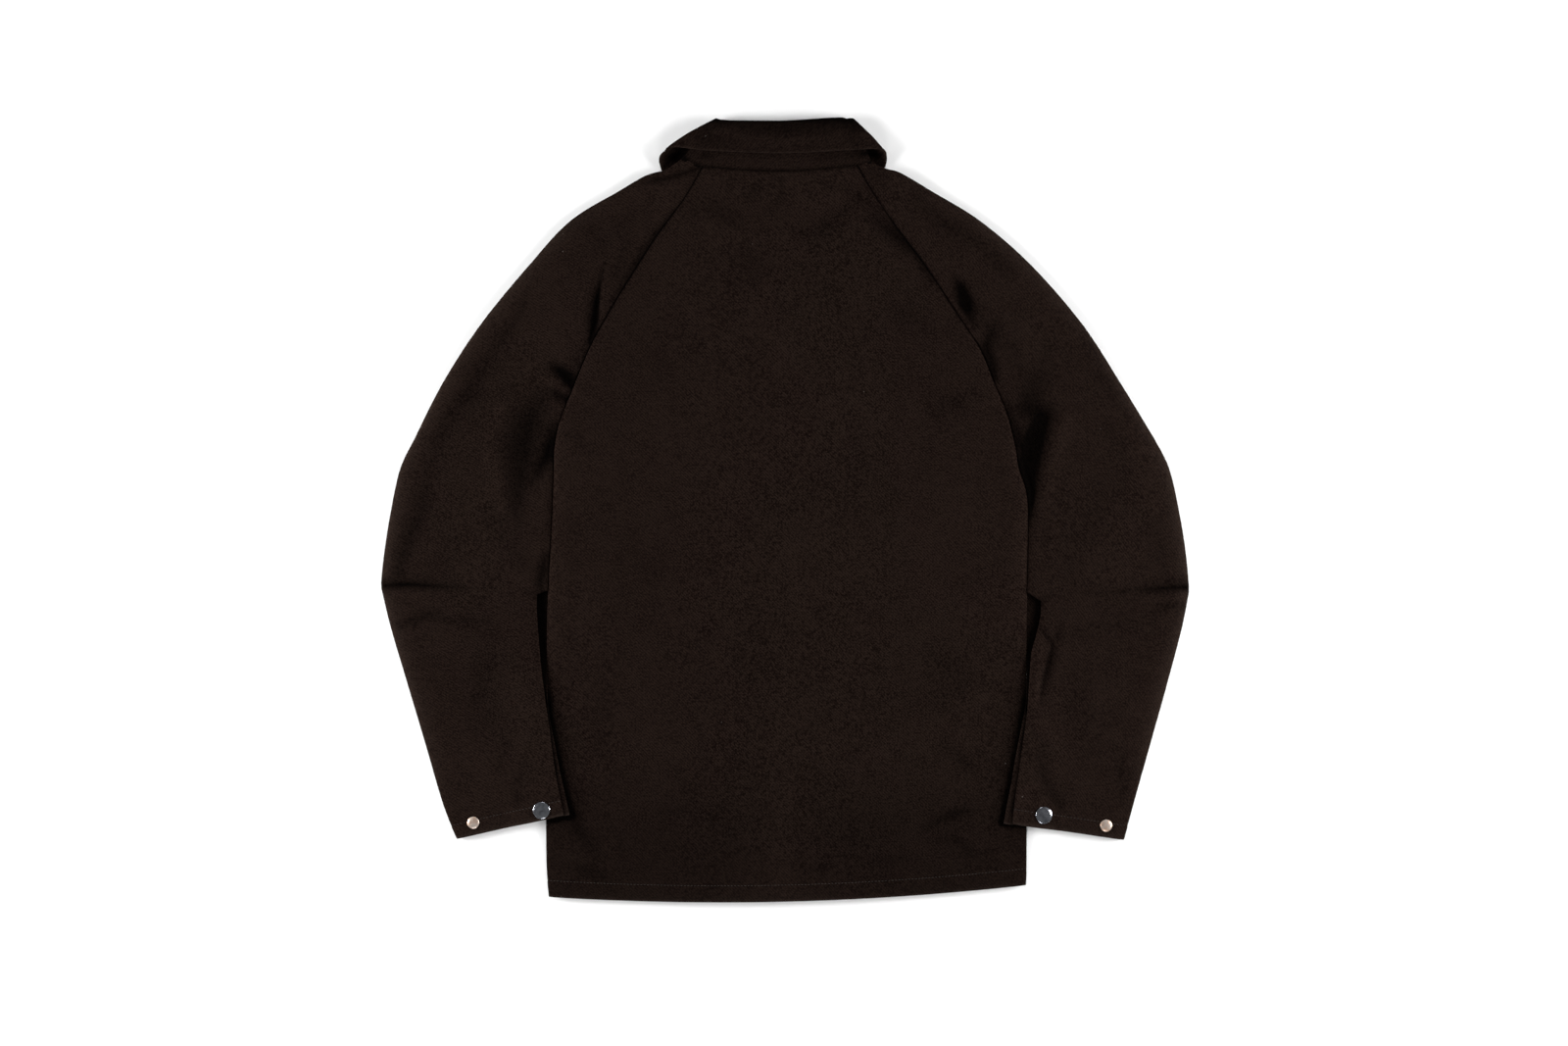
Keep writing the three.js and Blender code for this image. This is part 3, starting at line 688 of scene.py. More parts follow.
class TwillWeave:
    """A node group that gives the height of twill's diagonal ribs and of the threads in them."""

    name = "Twill weave"

    @classmethod
    def group(cls) -> bpy.types.NodeTree:
        """The group, made once.

        Returns:
            The node tree, with Vector, Rib and Angle in, and Height and Rib Mask out.
        """
        if cls.name in bpy.data.node_groups:
            return bpy.data.node_groups[cls.name]
        tree = bpy.data.node_groups.new(cls.name, "ShaderNodeTree")
        tree.interface.new_socket("Vector", in_out="INPUT", socket_type="NodeSocketVector")
        tree.interface.new_socket("Ribs per Metre", in_out="INPUT", socket_type="NodeSocketFloat")
        tree.interface.new_socket("Angle", in_out="INPUT", socket_type="NodeSocketFloat")
        tree.interface.new_socket("Height", in_out="OUTPUT", socket_type="NodeSocketFloat")
        tree.interface.new_socket("Rib Mask", in_out="OUTPUT", socket_type="NodeSocketFloat")
        given, result = tree.nodes.new("NodeGroupInput"), tree.nodes.new("NodeGroupOutput")
        turn = tree.nodes.new("ShaderNodeVectorRotate")
        turn.rotation_type = "Z_AXIS"
        tree.links.new(given.outputs["Vector"], turn.inputs["Vector"])
        tree.links.new(given.outputs["Angle"], turn.inputs["Angle"])
        parts = tree.nodes.new("ShaderNodeSeparateXYZ")
        tree.links.new(turn.outputs["Vector"], parts.inputs["Vector"])
        drift = value_noise(tree, given.outputs["Vector"], 90.0, 2.0)
        drift = calculate(tree, "MULTIPLY", drift, 0.0016)
        ribs = calculate(tree, "MULTIPLY", given.outputs["Ribs per Metre"], 2 * math.pi)
        across = calculate(tree, "ADD", parts.outputs["X"], drift)
        rib = calculate(tree, "SINE", calculate(tree, "MULTIPLY", across, ribs))
        beads = calculate(tree, "MULTIPLY", parts.outputs["Y"], calculate(tree, "MULTIPLY", ribs, 1.25))
        bead = calculate(tree, "SINE", calculate(tree, "ADD", beads, calculate(tree, "MULTIPLY", rib, 0.9)))
        rib = ramp(tree, rib, -0.9, 0.7)
        bead = ramp(tree, bead, -1.0, 1.0, 0.55, 1.0)
        height = calculate(tree, "MULTIPLY", rib, bead)
        uneven = ramp(tree, value_noise(tree, given.outputs["Vector"], 1400.0, 2.0), 0.2, 0.8, 0.6, 1.0)
        height = calculate(tree, "MULTIPLY", height, uneven)
        tree.links.new(height, result.inputs["Height"])
        tree.links.new(rib, result.inputs["Rib Mask"])
        return tree


class ToneWearAndPaintedLight:
    """A node group that varies a cloth's colour: broad fading, fine heathering, edge wear with painted edge
    highlights, lint, and painted shade from its Shade input (a painted highlight below zero).
    """

    name = "Worn tone"

    @classmethod
    def group(cls) -> bpy.types.NodeTree:
        """The group, made once.

        Returns:
            The node tree, with Vector, Dark, Light, Worn, Rib, Wear and Shade in, and Color out.
        """
        if cls.name in bpy.data.node_groups:
            return bpy.data.node_groups[cls.name]
        tree = bpy.data.node_groups.new(cls.name, "ShaderNodeTree")
        tree.interface.new_socket("Vector", in_out="INPUT", socket_type="NodeSocketVector")
        for name in ("Dark", "Light", "Worn"):
            tree.interface.new_socket(name, in_out="INPUT", socket_type="NodeSocketColor")
        for name in ("Rib", "Wear", "Shade"):
            tree.interface.new_socket(name, in_out="INPUT", socket_type="NodeSocketFloat")
        tree.interface.new_socket("Color", in_out="OUTPUT", socket_type="NodeSocketColor")
        given, result = tree.nodes.new("NodeGroupInput"), tree.nodes.new("NodeGroupOutput")
        where = given.outputs["Vector"]
        broad = ramp(tree, value_noise(tree, where, 9.0, 4.0), 0.3, 0.7, 0.0, 0.25)
        patches = ramp(tree, value_noise(tree, where, 70.0, 3.0), 0.35, 0.65, 0.0, 0.2)
        heather = ramp(tree, value_noise(tree, where, 560.0, 2.0), 0.34, 0.66, -0.25, 1.05)
        coarse = ramp(tree, value_noise(tree, where, 210.0, 2.0), 0.36, 0.64, -0.06, 0.12)
        share = calculate(tree, "ADD", calculate(tree, "ADD", broad, patches), heather)
        share = calculate(tree, "ADD", share, coarse)
        share = calculate(tree, "MULTIPLY", share, ramp(tree, given.outputs["Rib"], 0.0, 1.0, 0.45, 1.1))
        colour = blended(tree, share, given.outputs["Dark"], given.outputs["Light"])
        # Edge wear and painted edge highlight: the Wear input blends towards the pale Worn colour.
        rub = ramp(tree, value_noise(tree, where, 160.0, 3.0), 0.3, 0.6, 0.35, 1.0)
        rub = calculate(tree, "MULTIPLY", rub, given.outputs["Wear"])
        colour = blended(tree, rub, colour, given.outputs["Worn"])
        cells = tree.nodes.new("ShaderNodeTexVoronoi")
        cells.inputs["Scale"].default_value = 62.0
        tree.links.new(where, cells.inputs["Vector"])
        speck = ramp(tree, cells.outputs["Distance"], 0.028, 0.05, 1.0, 0.0)
        rare = tree.nodes.new("ShaderNodeSeparateColor")
        tree.links.new(cells.outputs["Color"], rare.inputs["Color"])
        chosen = ramp(tree, rare.outputs["Red"], 0.93, 0.95)
        speck = calculate(tree, "MULTIPLY", calculate(tree, "MULTIPLY", speck, chosen), 0.5)
        colour = blended(tree, speck, colour, (0.12, 0.105, 0.095))
        # Painted shade: the Shade input darkens the colour; below zero it lightens it as a painted highlight.
        kept = ramp(tree, given.outputs["Shade"], -0.2, 1.0, 1.12, 0.12)
        grey = tree.nodes.new("ShaderNodeCombineColor")
        for part in ("Red", "Green", "Blue"):
            tree.links.new(kept, grey.inputs[part])
        colour = blended(tree, None, colour, grey.outputs["Color"], "MULTIPLY")
        tree.links.new(colour, result.inputs["Color"])
        return tree


@dataclass(frozen=True)
class Twill:
    """Warm-black cotton twill, with its ribs at an angle on each piece."""

    name: str
    rib_angle: float
    dark: tuple[float, float, float] = (0.0042, 0.0022, 0.0017)
    light: tuple[float, float, float] = (0.0145, 0.0088, 0.0067)
    # The pale colour of edge wear and of painted edge highlights.
    worn: tuple[float, float, float] = (0.027, 0.019, 0.0155)
    ribs_per_metre: float = 430.0

    def material(self) -> bpy.types.Material:
        """The material of this cloth.

        Returns:
            A new material.
        """
        made = bpy.data.materials.new(self.name)
        made.use_nodes = True
        tree = made.node_tree
        shader = tree.nodes["Principled BSDF"]
        where = tree.nodes.new("ShaderNodeTexCoord").outputs["Object"]
        weave = tree.nodes.new("ShaderNodeGroup")
        weave.node_tree = TwillWeave.group()
        weave.inputs["Ribs per Metre"].default_value = self.ribs_per_metre
        weave.inputs["Angle"].default_value = math.radians(self.rib_angle)
        tree.links.new(where, weave.inputs["Vector"])
        # The meshes' attributes bring edge wear with painted edge highlights, and painted shade.
        wear = tree.nodes.new("ShaderNodeAttribute")
        wear.attribute_name = "edge_wear"
        tone = tree.nodes.new("ShaderNodeGroup")
        tone.node_tree = ToneWearAndPaintedLight.group()
        for name, colour in (("Dark", self.dark), ("Light", self.light), ("Worn", self.worn)):
            tone.inputs[name].default_value = (*colour, 1.0)
        tree.links.new(where, tone.inputs["Vector"])
        tree.links.new(weave.outputs["Rib Mask"], tone.inputs["Rib"])
        tree.links.new(wear.outputs["Fac"], tone.inputs["Wear"])
        shade = tree.nodes.new("ShaderNodeAttribute")
        shade.attribute_name = "crease_shade"
        tree.links.new(shade.outputs["Fac"], tone.inputs["Shade"])
        tree.links.new(tone.outputs["Color"], shader.inputs["Base Color"])
        nap = value_noise(tree, where, 260.0, 4.0)
        creasing = value_noise(tree, where, 34.0, 5.0)
        height = calculate(tree, "MULTIPLY", weave.outputs["Height"], 0.00022)
        height = calculate(tree, "ADD", height, calculate(tree, "MULTIPLY", nap, 0.00018))
        height = calculate(tree, "ADD", height, calculate(tree, "MULTIPLY", creasing, 0.0011))
        bump = tree.nodes.new("ShaderNodeBump")
        bump.inputs["Strength"].default_value = 0.8
        bump.inputs["Distance"].default_value = 1.0
        tree.links.new(height, bump.inputs["Height"])
        tree.links.new(bump.outputs["Normal"], shader.inputs["Normal"])
        tree.links.new(ramp(tree, nap, 0.3, 0.7, 0.86, 0.98), shader.inputs["Roughness"])
        shader.inputs["Specular IOR Level"].default_value = 0.012
        return made


@dataclass(frozen=True)
class Thread:
    """Sewing thread, a little paler than the cloth."""

    name: str = "thread"
    colour: tuple[float, float, float] = (0.024, 0.0175, 0.0145)

    def material(self) -> bpy.types.Material:
        """The material of the thread.

        Returns:
            A new material.
        """
        made = bpy.data.materials.new(self.name)
        made.use_nodes = True
        tree = made.node_tree
        shader = tree.nodes["Principled BSDF"]
        where = tree.nodes.new("ShaderNodeTexCoord").outputs["Object"]
        uneven = ramp(tree, value_noise(tree, where, 150.0, 2.0), 0.35, 0.65)
        dark = tuple(0.35 * part for part in self.colour)
        tree.links.new(blended(tree, uneven, dark, self.colour), shader.inputs["Base Color"])
        twist = calculate(tree, "MULTIPLY", value_noise(tree, where, 2600.0, 2.0), 0.0001)
        bump = tree.nodes.new("ShaderNodeBump")
        bump.inputs["Distance"].default_value = 1.0
        tree.links.new(twist, bump.inputs["Height"])
        tree.links.new(bump.outputs["Normal"], shader.inputs["Normal"])
        shader.inputs["Roughness"].default_value = 0.7
        shader.inputs["Specular IOR Level"].default_value = 0.3
        return made


@dataclass(frozen=True)
class BareMetal:
    """Polished or brushed metal with fine scratches and a darker tarnish in places."""

    name: str
    colour: tuple[float, float, float]
    tarnish: tuple[float, float, float]
    roughness: float
    scratches: float

    def material(self) -> bpy.types.Material:
        """The material of the metal.

        Returns:
            A new material.
        """
        made = bpy.data.materials.new(self.name)
        made.use_nodes = True
        tree = made.node_tree
        shader = tree.nodes["Principled BSDF"]
        where = tree.nodes.new("ShaderNodeTexCoord").outputs["Object"]
        cloud = ramp(tree, value_noise(tree, where, 210.0, 4.0), 0.42, 0.68)
        tree.links.new(blended(tree, cloud, self.colour, self.tarnish), shader.inputs["Base Color"])
        fine = value_noise(tree, where, 1900.0, 3.0)
        rough = ramp(tree, fine, 0.3, 0.7, self.roughness * 0.7, self.roughness * 1.3)
        tree.links.new(rough, shader.inputs["Roughness"])
        bump = tree.nodes.new("ShaderNodeBump")
        bump.inputs["Distance"].default_value = 1.0
        tree.links.new(calculate(tree, "MULTIPLY", fine, self.scratches * MM), bump.inputs["Height"])
        tree.links.new(bump.outputs["Normal"], shader.inputs["Normal"])
        shader.inputs["Metallic"].default_value = 1.0
        return made


# Pieces of the jacket

def refined(length: float, step: float, fine: tuple[tuple[float, float, float], ...] = ()) -> Array:
    """Shares of a length at even steps, closer together within the stretches that fine names.

    Args:
        length: The length to divide.
        step: The usual step.
        fine: From, to and step of each closer stretch, measured along the length.

    Returns:
        Shares from 0 to 1.
    """
    stops, at = [0.0], 0.0
    while at < length:
        pace = min([step] + [small for low, high, small in fine if low <= at < high])
        at = min(at + pace, length)
        stops.append(at)
    if length - stops[-2] < 0.4 * step and len(stops) > 2 and not fine:
        stops.pop(-2)
    return np.array(stops) / length


@dataclass(frozen=True)
class Arm:
    """The edges of one side of the jacket, seen from above, from the collar down."""

    name: str
    side: int
    raglan: SmoothCurve
    front_raglan: SmoothCurve
    body_side: SmoothCurve
    shoulder: SmoothCurve
    upper_arm: SmoothCurve
    forearm: SmoothCurve
    upper_arm_inside: SmoothCurve
    forearm_inside: SmoothCurve
    forearm_under: SmoothCurve
    folds: tuple[Fold, ...]
    snap_at: tuple[float, float]
    rivet_at: tuple[float, float]


LEFT_ARM = Arm(
    name="left", side=-1,
    raglan=SmoothCurve(((-83.5, 350), (-103, 317), (-130, 280), (-156, 240), (-177, 206), (-199, 166),
                        (-217, 123), (-231, 88), (-236, 60))),
    front_raglan=SmoothCurve(((-92, 326), (-106, 306), (-131, 276), (-156, 240), (-177, 206),
                              (-199, 166), (-217, 123), (-231, 88), (-236, 60))),
    body_side=SmoothCurve(((-236, 60), (-238, -4), (-242, -84), (-243.5, -130), (-244, -250),
                           (-244, -350), (-241, -395))),
    shoulder=SmoothCurve(((-105, 358), (-115, 351), (-124, 345.5), (-134, 343.5), (-146, 339),
                          (-170, 325), (-219, 295), (-261, 250), (-310, 190), (-349, 130), (-379, 71))),
    upper_arm=SmoothCurve(((-379, 71), (-393.5, 40), (-404, -10), (-410, -50), (-412.5, -75))),
    forearm=SmoothCurve(((-412, -81), (-402, -122), (-383, -186), (-366, -243), (-349, -301),
                         (-335, -336))),
    upper_arm_inside=SmoothCurve(((-236, 60), (-238, -4), (-240, -45), (-242, -82))),
    forearm_inside=SmoothCurve(((-253, -86), (-253.5, -100), (-252, -125), (-250.3, -145), (-247.5, -170),
                                (-244.5, -190), (-242, -208), (-240, -222), (-237.8, -240),
                                (-235.3, -258), (-232.3, -277), (-228.6, -295), (-225.5, -311))),
    forearm_under=SmoothCurve(((-242, -82), (-243, -120), (-243, -160), (-242.2, -190), (-240.3, -210),
                               (-237, -228), (-233.2, -248), (-229, -270), (-224.5, -290),
                               (-219.8, -311))),
    folds=(
        Fold(((-261, 227, 5, 0.5), (-271, 198, 6, 0.9), (-290, 170, 8, 0.9), (-308, 146, 10, 1.0),
              (-320, 120, 12, 1.2), (-340, 94, 11, 1.1), (-354, 66, 12, 0.9), (-361, 40, 12, 0.8),
              (-369, 8, 12, 1.1), (-377, -14, 11, 1.5), (-387, -42, 10, 1.6), (-394, -66, 8, 1.3))),
        Fold(((-181, 257, 2.5, 0.4), (-187, 236, 4.5, 1.6), (-191, 212, 6.5, 3.4), (-193, 192, 7.5, 4.2),
              (-198, 172, 4.5, 2.8)), FoldKind.STEEP_LEFT),
        Fold(((-203, 168, 8, 0.8), (-211, 150, 9, 1.0), (-214, 140, 6, 1.0))),
        Fold(((-241, 148, 4, 0.8), (-231, 143, 7, 2.8), (-222, 135, 8, 3.8), (-216, 127, 6, 3.2))),
        Fold(((-243, 122, 5, 0.9), (-231, 117, 6, 2.2), (-221, 111, 5, 2.4))),
        Fold(((-246, 134, 5, -0.6), (-232, 129, 4, -0.9)), FoldKind.SOFT),
        Fold(((-250, 112, 11, 1.3), (-262, 86, 19, 2.0), (-268, 62, 21, 2.2), (-270, 36, 16, 1.9),
              (-273, 10, 13, 1.5), (-270, -14, 10, 0.6))),
        Fold(((-256, 112, 5, 0.7), (-258, 100, 6, 0.7))),
        Fold(((-237, 84, 8, 1.6), (-240, 62, 10, 3.0), (-250, 42, 8, 2.2), (-258, 28, 7, 1.2))),
        Fold(((-286, 108, 6, -0.5), (-300, 70, 8, -0.8), (-294, 30, 8, -0.7), (-290, 0, 7, -0.4))),
        Fold(((-108, 311, 3, 0.6), (-132, 281, 5, 1.5), (-152, 252, 5, 1.5), (-172, 221, 4, 1.0),
              (-184, 200, 3, 0.4))),
        Fold(((-158, 266, 9, 0.5), (-174, 240, 9, 0.6))),
        Fold(((-87, 349, 3, 1.5), (-110, 341, 4, 1.9), (-130, 336.5, 4, 1.7), (-146, 334, 3.5, 0.8))),
        Fold(((-408, -77.5, 8, 3.6), (-385, -76.5, 7, 3.2), (-360, -77.5, 6.5, 2.7), (-335, -79, 6, 1.5),
              (-318, -80, 5, 0.5)), FoldKind.SHARP),
        Fold(((-400, -72, 7, 1.3), (-385, -73, 6, 0.9), (-360, -73, 6, 0.6), (-330, -76, 6, 0.3))),
        Fold(((-398, -86, 4, -0.7), (-365, -87, 4, -0.6))),
        Fold(((-394, -118, 5, 1.1), (-376, -113, 6, 1.4), (-360, -107, 6, 1.2), (-340, -112, 6, 0.8),
              (-316, -114, 6, 0.9), (-303, -113, 5, 0.4))),
        Fold(((-244, -44, 3.5, 1.1), (-247, -60, 6, 2.2), (-250, -75, 6, 2.0), (-247, -86, 4, 1.4))),
        Fold(((-264, -84, 3.5, 0.8), (-251, -87, 4, 1.2))),
        Fold(((-292, -8, 13, 0.5), (-276, -38, 14, 0.6), (-265, -58, 9, 0.5))),
        Fold(((-345, -30, 16, 0.4), (-352, -62, 14, 0.5))),
        Fold(((-266, -258, 8, 0.5), (-272, -284, 9, 1.0), (-273, -298, 6, 0.8))),
        Fold(((-283, -238, 9, 0.5), (-290, -262, 9, 0.5))),
        Fold(((-262, -292, 2.5, 0.7), (-270, -297, 2.5, 0.7), (-280, -299, 2.5, 0.4))),
        Fold(((-240, -297, 2.5, 0.6), (-234, -294, 2.5, 0.5))),
        Fold(((-300, -150, 20, 0.4), (-310, -190, 18, 0.5), (-300, -225, 16, 0.4))),
        Fold(((-225, 296, 14, 0.4), (-180, 282, 14, 0.5), (-150, 300, 12, 0.3))),
    ),
    snap_at=(-248, -306), rivet_at=(-318, -319),
)

RIGHT_ARM = Arm(
    name="right", side=1,
    raglan=SmoothCurve(((74, 351), (85, 331), (109, 295), (142.5, 250.5), (172, 205.5), (198, 166),
                        (213, 131), (227, 97), (236, 62))),
    front_raglan=SmoothCurve(((84, 326), (96, 310), (116, 286), (143, 250), (172, 205.5), (198, 166),
                              (213, 131), (227, 97), (236, 62))),
    body_side=SmoothCurve(((236, 62), (239, 42), (246, 20), (248.5, -5), (247.5, -64), (247, -130),
                           (247, -250), (247, -350), (246, -383))),
    shoulder=SmoothCurve(((88, 355), (97, 350), (106, 347), (119, 343), (150, 325), (199, 295),
                          (251, 250), (303, 190), (342, 130), (378, 71))),
    upper_arm=SmoothCurve(((378, 71), (393, 40), (404, -10), (410, -50), (412.5, -78))),
    forearm=SmoothCurve(((412.5, -84), (405, -122), (388, -186), (372, -243), (356, -300),
                         (346, -337))),
    upper_arm_inside=SmoothCurve(((236, 62), (239, 42), (246, 20), (248.5, -5), (247.5, -64),
                                  (247.3, -84))),
    forearm_inside=SmoothCurve(((261.5, -93), (261, -108), (256, -130), (251.3, -148), (248.6, -180),
                                (247, -200), (244.8, -220), (242, -240), (239.3, -260), (236.5, -280),
                                (233.6, -300), (232, -320))),
    forearm_under=SmoothCurve(((247, -84), (247, -110), (247, -150), (246.6, -180), (245.2, -200),
                               (241.5, -220), (237.6, -240), (234, -260), (230.6, -280), (226.6, -300),
                               (223, -320))),
    folds=(
        Fold(((133, 322, 6, 0.5), (150, 302, 9, 0.9), (168, 289, 10, 1.0), (200, 270, 8, 0.7),
              (219, 252, 8, 1.0), (230, 238, 6, 0.4))),
        Fold(((171, 240, 4, 0.6), (179, 227, 8, 2.8), (184, 212, 9.5, 4.0), (188, 200, 8, 2.2),
              (192, 188, 6, 1.0))),
        Fold(((193, 205, 9, 0.8), (212, 180, 11, 1.0), (230, 160, 10, 0.7), (240, 140, 9, 0.5))),
        Fold(((215, 192, 4.5, 1.0), (209, 178, 7, 2.0), (206, 166, 8, 2.3), (211, 150, 7.5, 2.2),
              (215, 134, 4, 2.0))),
        Fold(((166, 219, 2.4, -0.7), (180, 198, 2.4, -0.9), (193, 177, 2, -0.6))),
        Fold(((267, 164, 8, 0.4), (262, 142, 11, 0.8), (252, 122, 14, 1.5), (250, 104, 17, 2.3),
              (264, 98, 14, 2.0))),
        Fold(((224, 112, 8, 0.8), (230, 96, 9, 1.4), (237, 78, 9, 2.0), (240, 66, 7, 2.2))),
        Fold(((262, 92, 11, 3.4), (256, 76, 12, 4.6), (251, 56, 12, 5.0), (249, 36, 10, 4.8),
              (251.5, 16, 6, 3.9), (251, -4, 3.5, 2.0), (250, -16, 2.5, 0.8))),
        Fold(((288, 92, 8, -0.8), (279, 66, 7, -1.1), (272, 40, 7, -0.9), (266, 12, 6, -0.5))),
        Fold(((298, 196, 7, 0.5), (312, 162, 9, 0.8), (330, 126, 9, 0.7), (346, 96, 8, 0.5))),
        Fold(((330, 84, 10, 0.5), (342, 60, 10, 0.5), (348, 30, 10, 0.3))),
        Fold(((411, -79, 8, 3.4), (395, -79.5, 7, 3.0), (375, -81, 6.5, 2.4), (355, -82.5, 6, 1.3),
              (330, -84, 5.5, 0.8), (290, -85, 5, 0.5)), FoldKind.SHARP),
        Fold(((408, -73, 7, 1.2), (390, -76, 6, 0.8), (365, -79, 5, 0.4))),
        Fold(((404, -88, 4, -0.7), (375, -91, 4, -0.5))),
        Fold(((405, -98, 6, 1.0), (388, -98, 7, 1.1), (370, -101, 6, 0.5))),
        Fold(((372, -116, 6, 0.4), (335, -118, 7, 0.5), (300, -124, 9, 0.5))),
        Fold(((252, -88, 3.5, 1.0), (259, -97, 4, 2.0), (266, -89, 3.5, 1.1)), FoldKind.SOFT),
        Fold(((258, -118, 3.5, 1.0), (265, -128, 4, 1.7), (272, -137, 5, 1.9), (270, -149, 6.5, 2.1),
              (266, -164, 6.5, 2.1), (262, -179, 6, 1.6), (260, -197, 5, 0.7)), FoldKind.STEEP_RIGHT),
        Fold(((282, -117, 4, 0.6), (277, -130, 4.5, 1.2))),
        Fold(((258, -128, 4, -0.8), (257, -160, 4, -0.9), (253, -192, 4, -0.6))),
        Fold(((264, -236, 7, 0.5), (262, -262, 8, 1.0), (270, -286, 8, 1.2), (281, -303, 5.5, 1.3))),
        Fold(((271, -318, 3, 0.6), (278, -322, 3, 0.4))),
        Fold(((341, -252, 7, 0.6), (344, -282, 7, 0.8), (340, -300, 5, 0.4))),
        Fold(((300, -170, 18, 0.4), (296, -205, 18, 0.5), (312, -240, 16, 0.4))),
        Fold(((330, 20, 18, 0.4), (300, -30, 18, 0.5), (290, -65, 14, 0.4))),
        Fold(((380, -20, 12, 0.5), (384, -52, 12, 0.6))),
        Fold(((86, 348, 2.5, 0.8), (97, 352, 2.5, 0.9))),
        Fold(((78, 340, 3, 0.5), (90, 345, 4, 0.8), (104, 340, 5, 0.5))),
    ),
    snap_at=(263.7, -311), rivet_at=(327.6, -322),
)


def seam_turn(share: Array) -> Array:
    """How far the upper layer's edges turn down along the raglan seam."""
    return 0.12 + 0.88 * smooth(0.1, 1.0, share) ** 1.3


def under_seam_turn(share: Array) -> Array:
    """How far the lower layer's edges turn up along the raglan seam."""
    return smooth(0.86, 1.0, share)


def fully(share: Array) -> Array:
    """A full quarter turn all along."""
    return np.ones_like(share)


def hem_relief(depth: float, groove: float = 0.32) -> Callable[[ClothShell], Array]:
    """The outside of a turned and stitched hem: a low swell, a groove at the stitches, and puckers.

    Args:
        depth: How far the stitches lie from the edge.
        groove: How deep the stitches pull the cloth in.

    Returns:
        A function that gives the relief of a shell.
    """

    def relief(shell: ClothShell) -> Array:
        """The height added at each grid point of a shell."""
        away = shell.from_bottom
        across = shell.from_left
        swell = 0.22 * smooth(depth + 2, depth - 3, away)
        line = -groove * np.exp(-(((away - depth) / 1.3) ** 2))
        wander = 1.5 * np.sin(across / 31.0) + 0.9 * np.sin(across / 12.7)
        pucker = 0.13 * np.sin((across + wander) * 2 * math.pi / 9.5) * np.exp(-(((away - depth) / 7) ** 2))
        return swell + line + pucker

    return relief


def hem_wear_and_highlight(shell: ClothShell) -> Array:
    """Wear and a painted edge highlight along the lowest edge of a piece."""
    return 0.75 * np.exp(-((shell.from_bottom / 1.6) ** 2)) + 0.12 * np.exp(-((shell.from_bottom / 9) ** 2))


def crease_shade(shell: ClothShell, folds: tuple[Fold, ...]) -> Array:
    """Painted shade inside the creases, and a slight painted highlight on the ridges."""
    depth = hollows(folds, shell.grid[..., 0], shell.grid[..., 1])
    return np.clip(depth / 2.7, -0.16, 1.05)


def seam_shade(away: Array) -> Array:
    """The dark line and soft shadow along a seam."""
    return 0.85 * np.exp(-((away / 1.0) ** 2)) + 0.16 * np.exp(-((away / 5.0) ** 2))


def painted_forearm_shadow(shell: ClothShell, arm: "Arm", near: float, far: float) -> Array:
    """Painted shadow on the cloth beside and under a forearm.

    Args:
        shell: The shell.
        arm: The arm that lies beside it.
        near: How dark it is at the forearm's edge.
        far: How dark it is a little further off.

    Returns:
        The amount at each grid point.
    """
    edge = arm.forearm_under.at(np.linspace(0, 1, 80))
    x, y = shell.grid[..., 0], shell.grid[..., 1]
    distance = np.full_like(x, 1e3)
    for ex, ey in edge:
        distance = np.minimum(distance, np.hypot(x - ex, y - ey))
    inward = np.interp(-y, -edge[:, 1], edge[:, 0])
    covered = (x - inward) * arm.side > 0
    distance = np.where(covered, 0.0, distance)
    return near * np.exp(-((distance / 4.6) ** 4)) + far * np.exp(-((distance / 12.0) ** 2))


def hem_inside(shell: ClothShell, depth: float) -> Array:
    """What a turned hem adds inside, away from the folds at its ends."""
    ends = np.minimum(shell.from_left, shell.from_right)
    return LYING.hem_extra * smooth(depth + LYING.hem_step, depth, shell.from_bottom) * smooth(9, 20, ends)


def line_on(shell: ClothShell, away: Array, distance: float, rows: bool = True) -> tuple[Array, Array]:
    """The points of a shell's outside that lie a distance from an edge, with the outside's direction.

    Args:
        shell: The shell.
        away: The distance of each grid point from that edge.
        distance: How far the line lies from it.
        rows: True if the distance grows along the rows' order, False if along the columns'.

    Returns:
        The points and the directions, one row each.
    """
    axis = 0 if rows else 1
    outer = np.moveaxis(shell.outer, axis, 0)
    normal = np.moveaxis(shell.normal, axis, 0)
    distances = np.moveaxis(away, axis, 0)
    points, ups = [], []
    for k in range(2, outer.shape[1] - 2):
        order = np.argsort(distances[:, k])
        at = distances[order, k]
        points.append([np.interp(distance, at, outer[order, k, axis_]) for axis_ in range(3)])
        ups.append([np.interp(distance, at, normal[order, k, axis_]) for axis_ in range(3)])
    return np.array(points), np.array(ups)


@dataclass
class Garment:
    """What every sewn piece does: ride on the one body and stand for its solid."""

    twill_slot: str = "twill"

    def dress(self, thing: bpy.types.Object, finish: bpy.types.Material, *nodes: str) -> None:
        """Gives a piece its material and its place in the frame.

        Args:
            thing: The piece.
            finish: Its material.
            nodes: The solids that it stands for.
        """
        thing.data.materials.append(finish)
        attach(thing, "root")
        if nodes:
            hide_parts(*nodes)

    def declare(self, shell: ClothShell, thing: bpy.types.Object, rests_on: list[str],
                with_pieces: list[bpy.types.Object] | None = None) -> None:
        """Takes a piece's details and does nothing with them.

        Args:
            shell: The piece's shell; not used.
            thing: Its object; not used.
            rests_on: The names of what it lies on; not used.
            with_pieces: Stitches and caps on it; not used.
        """


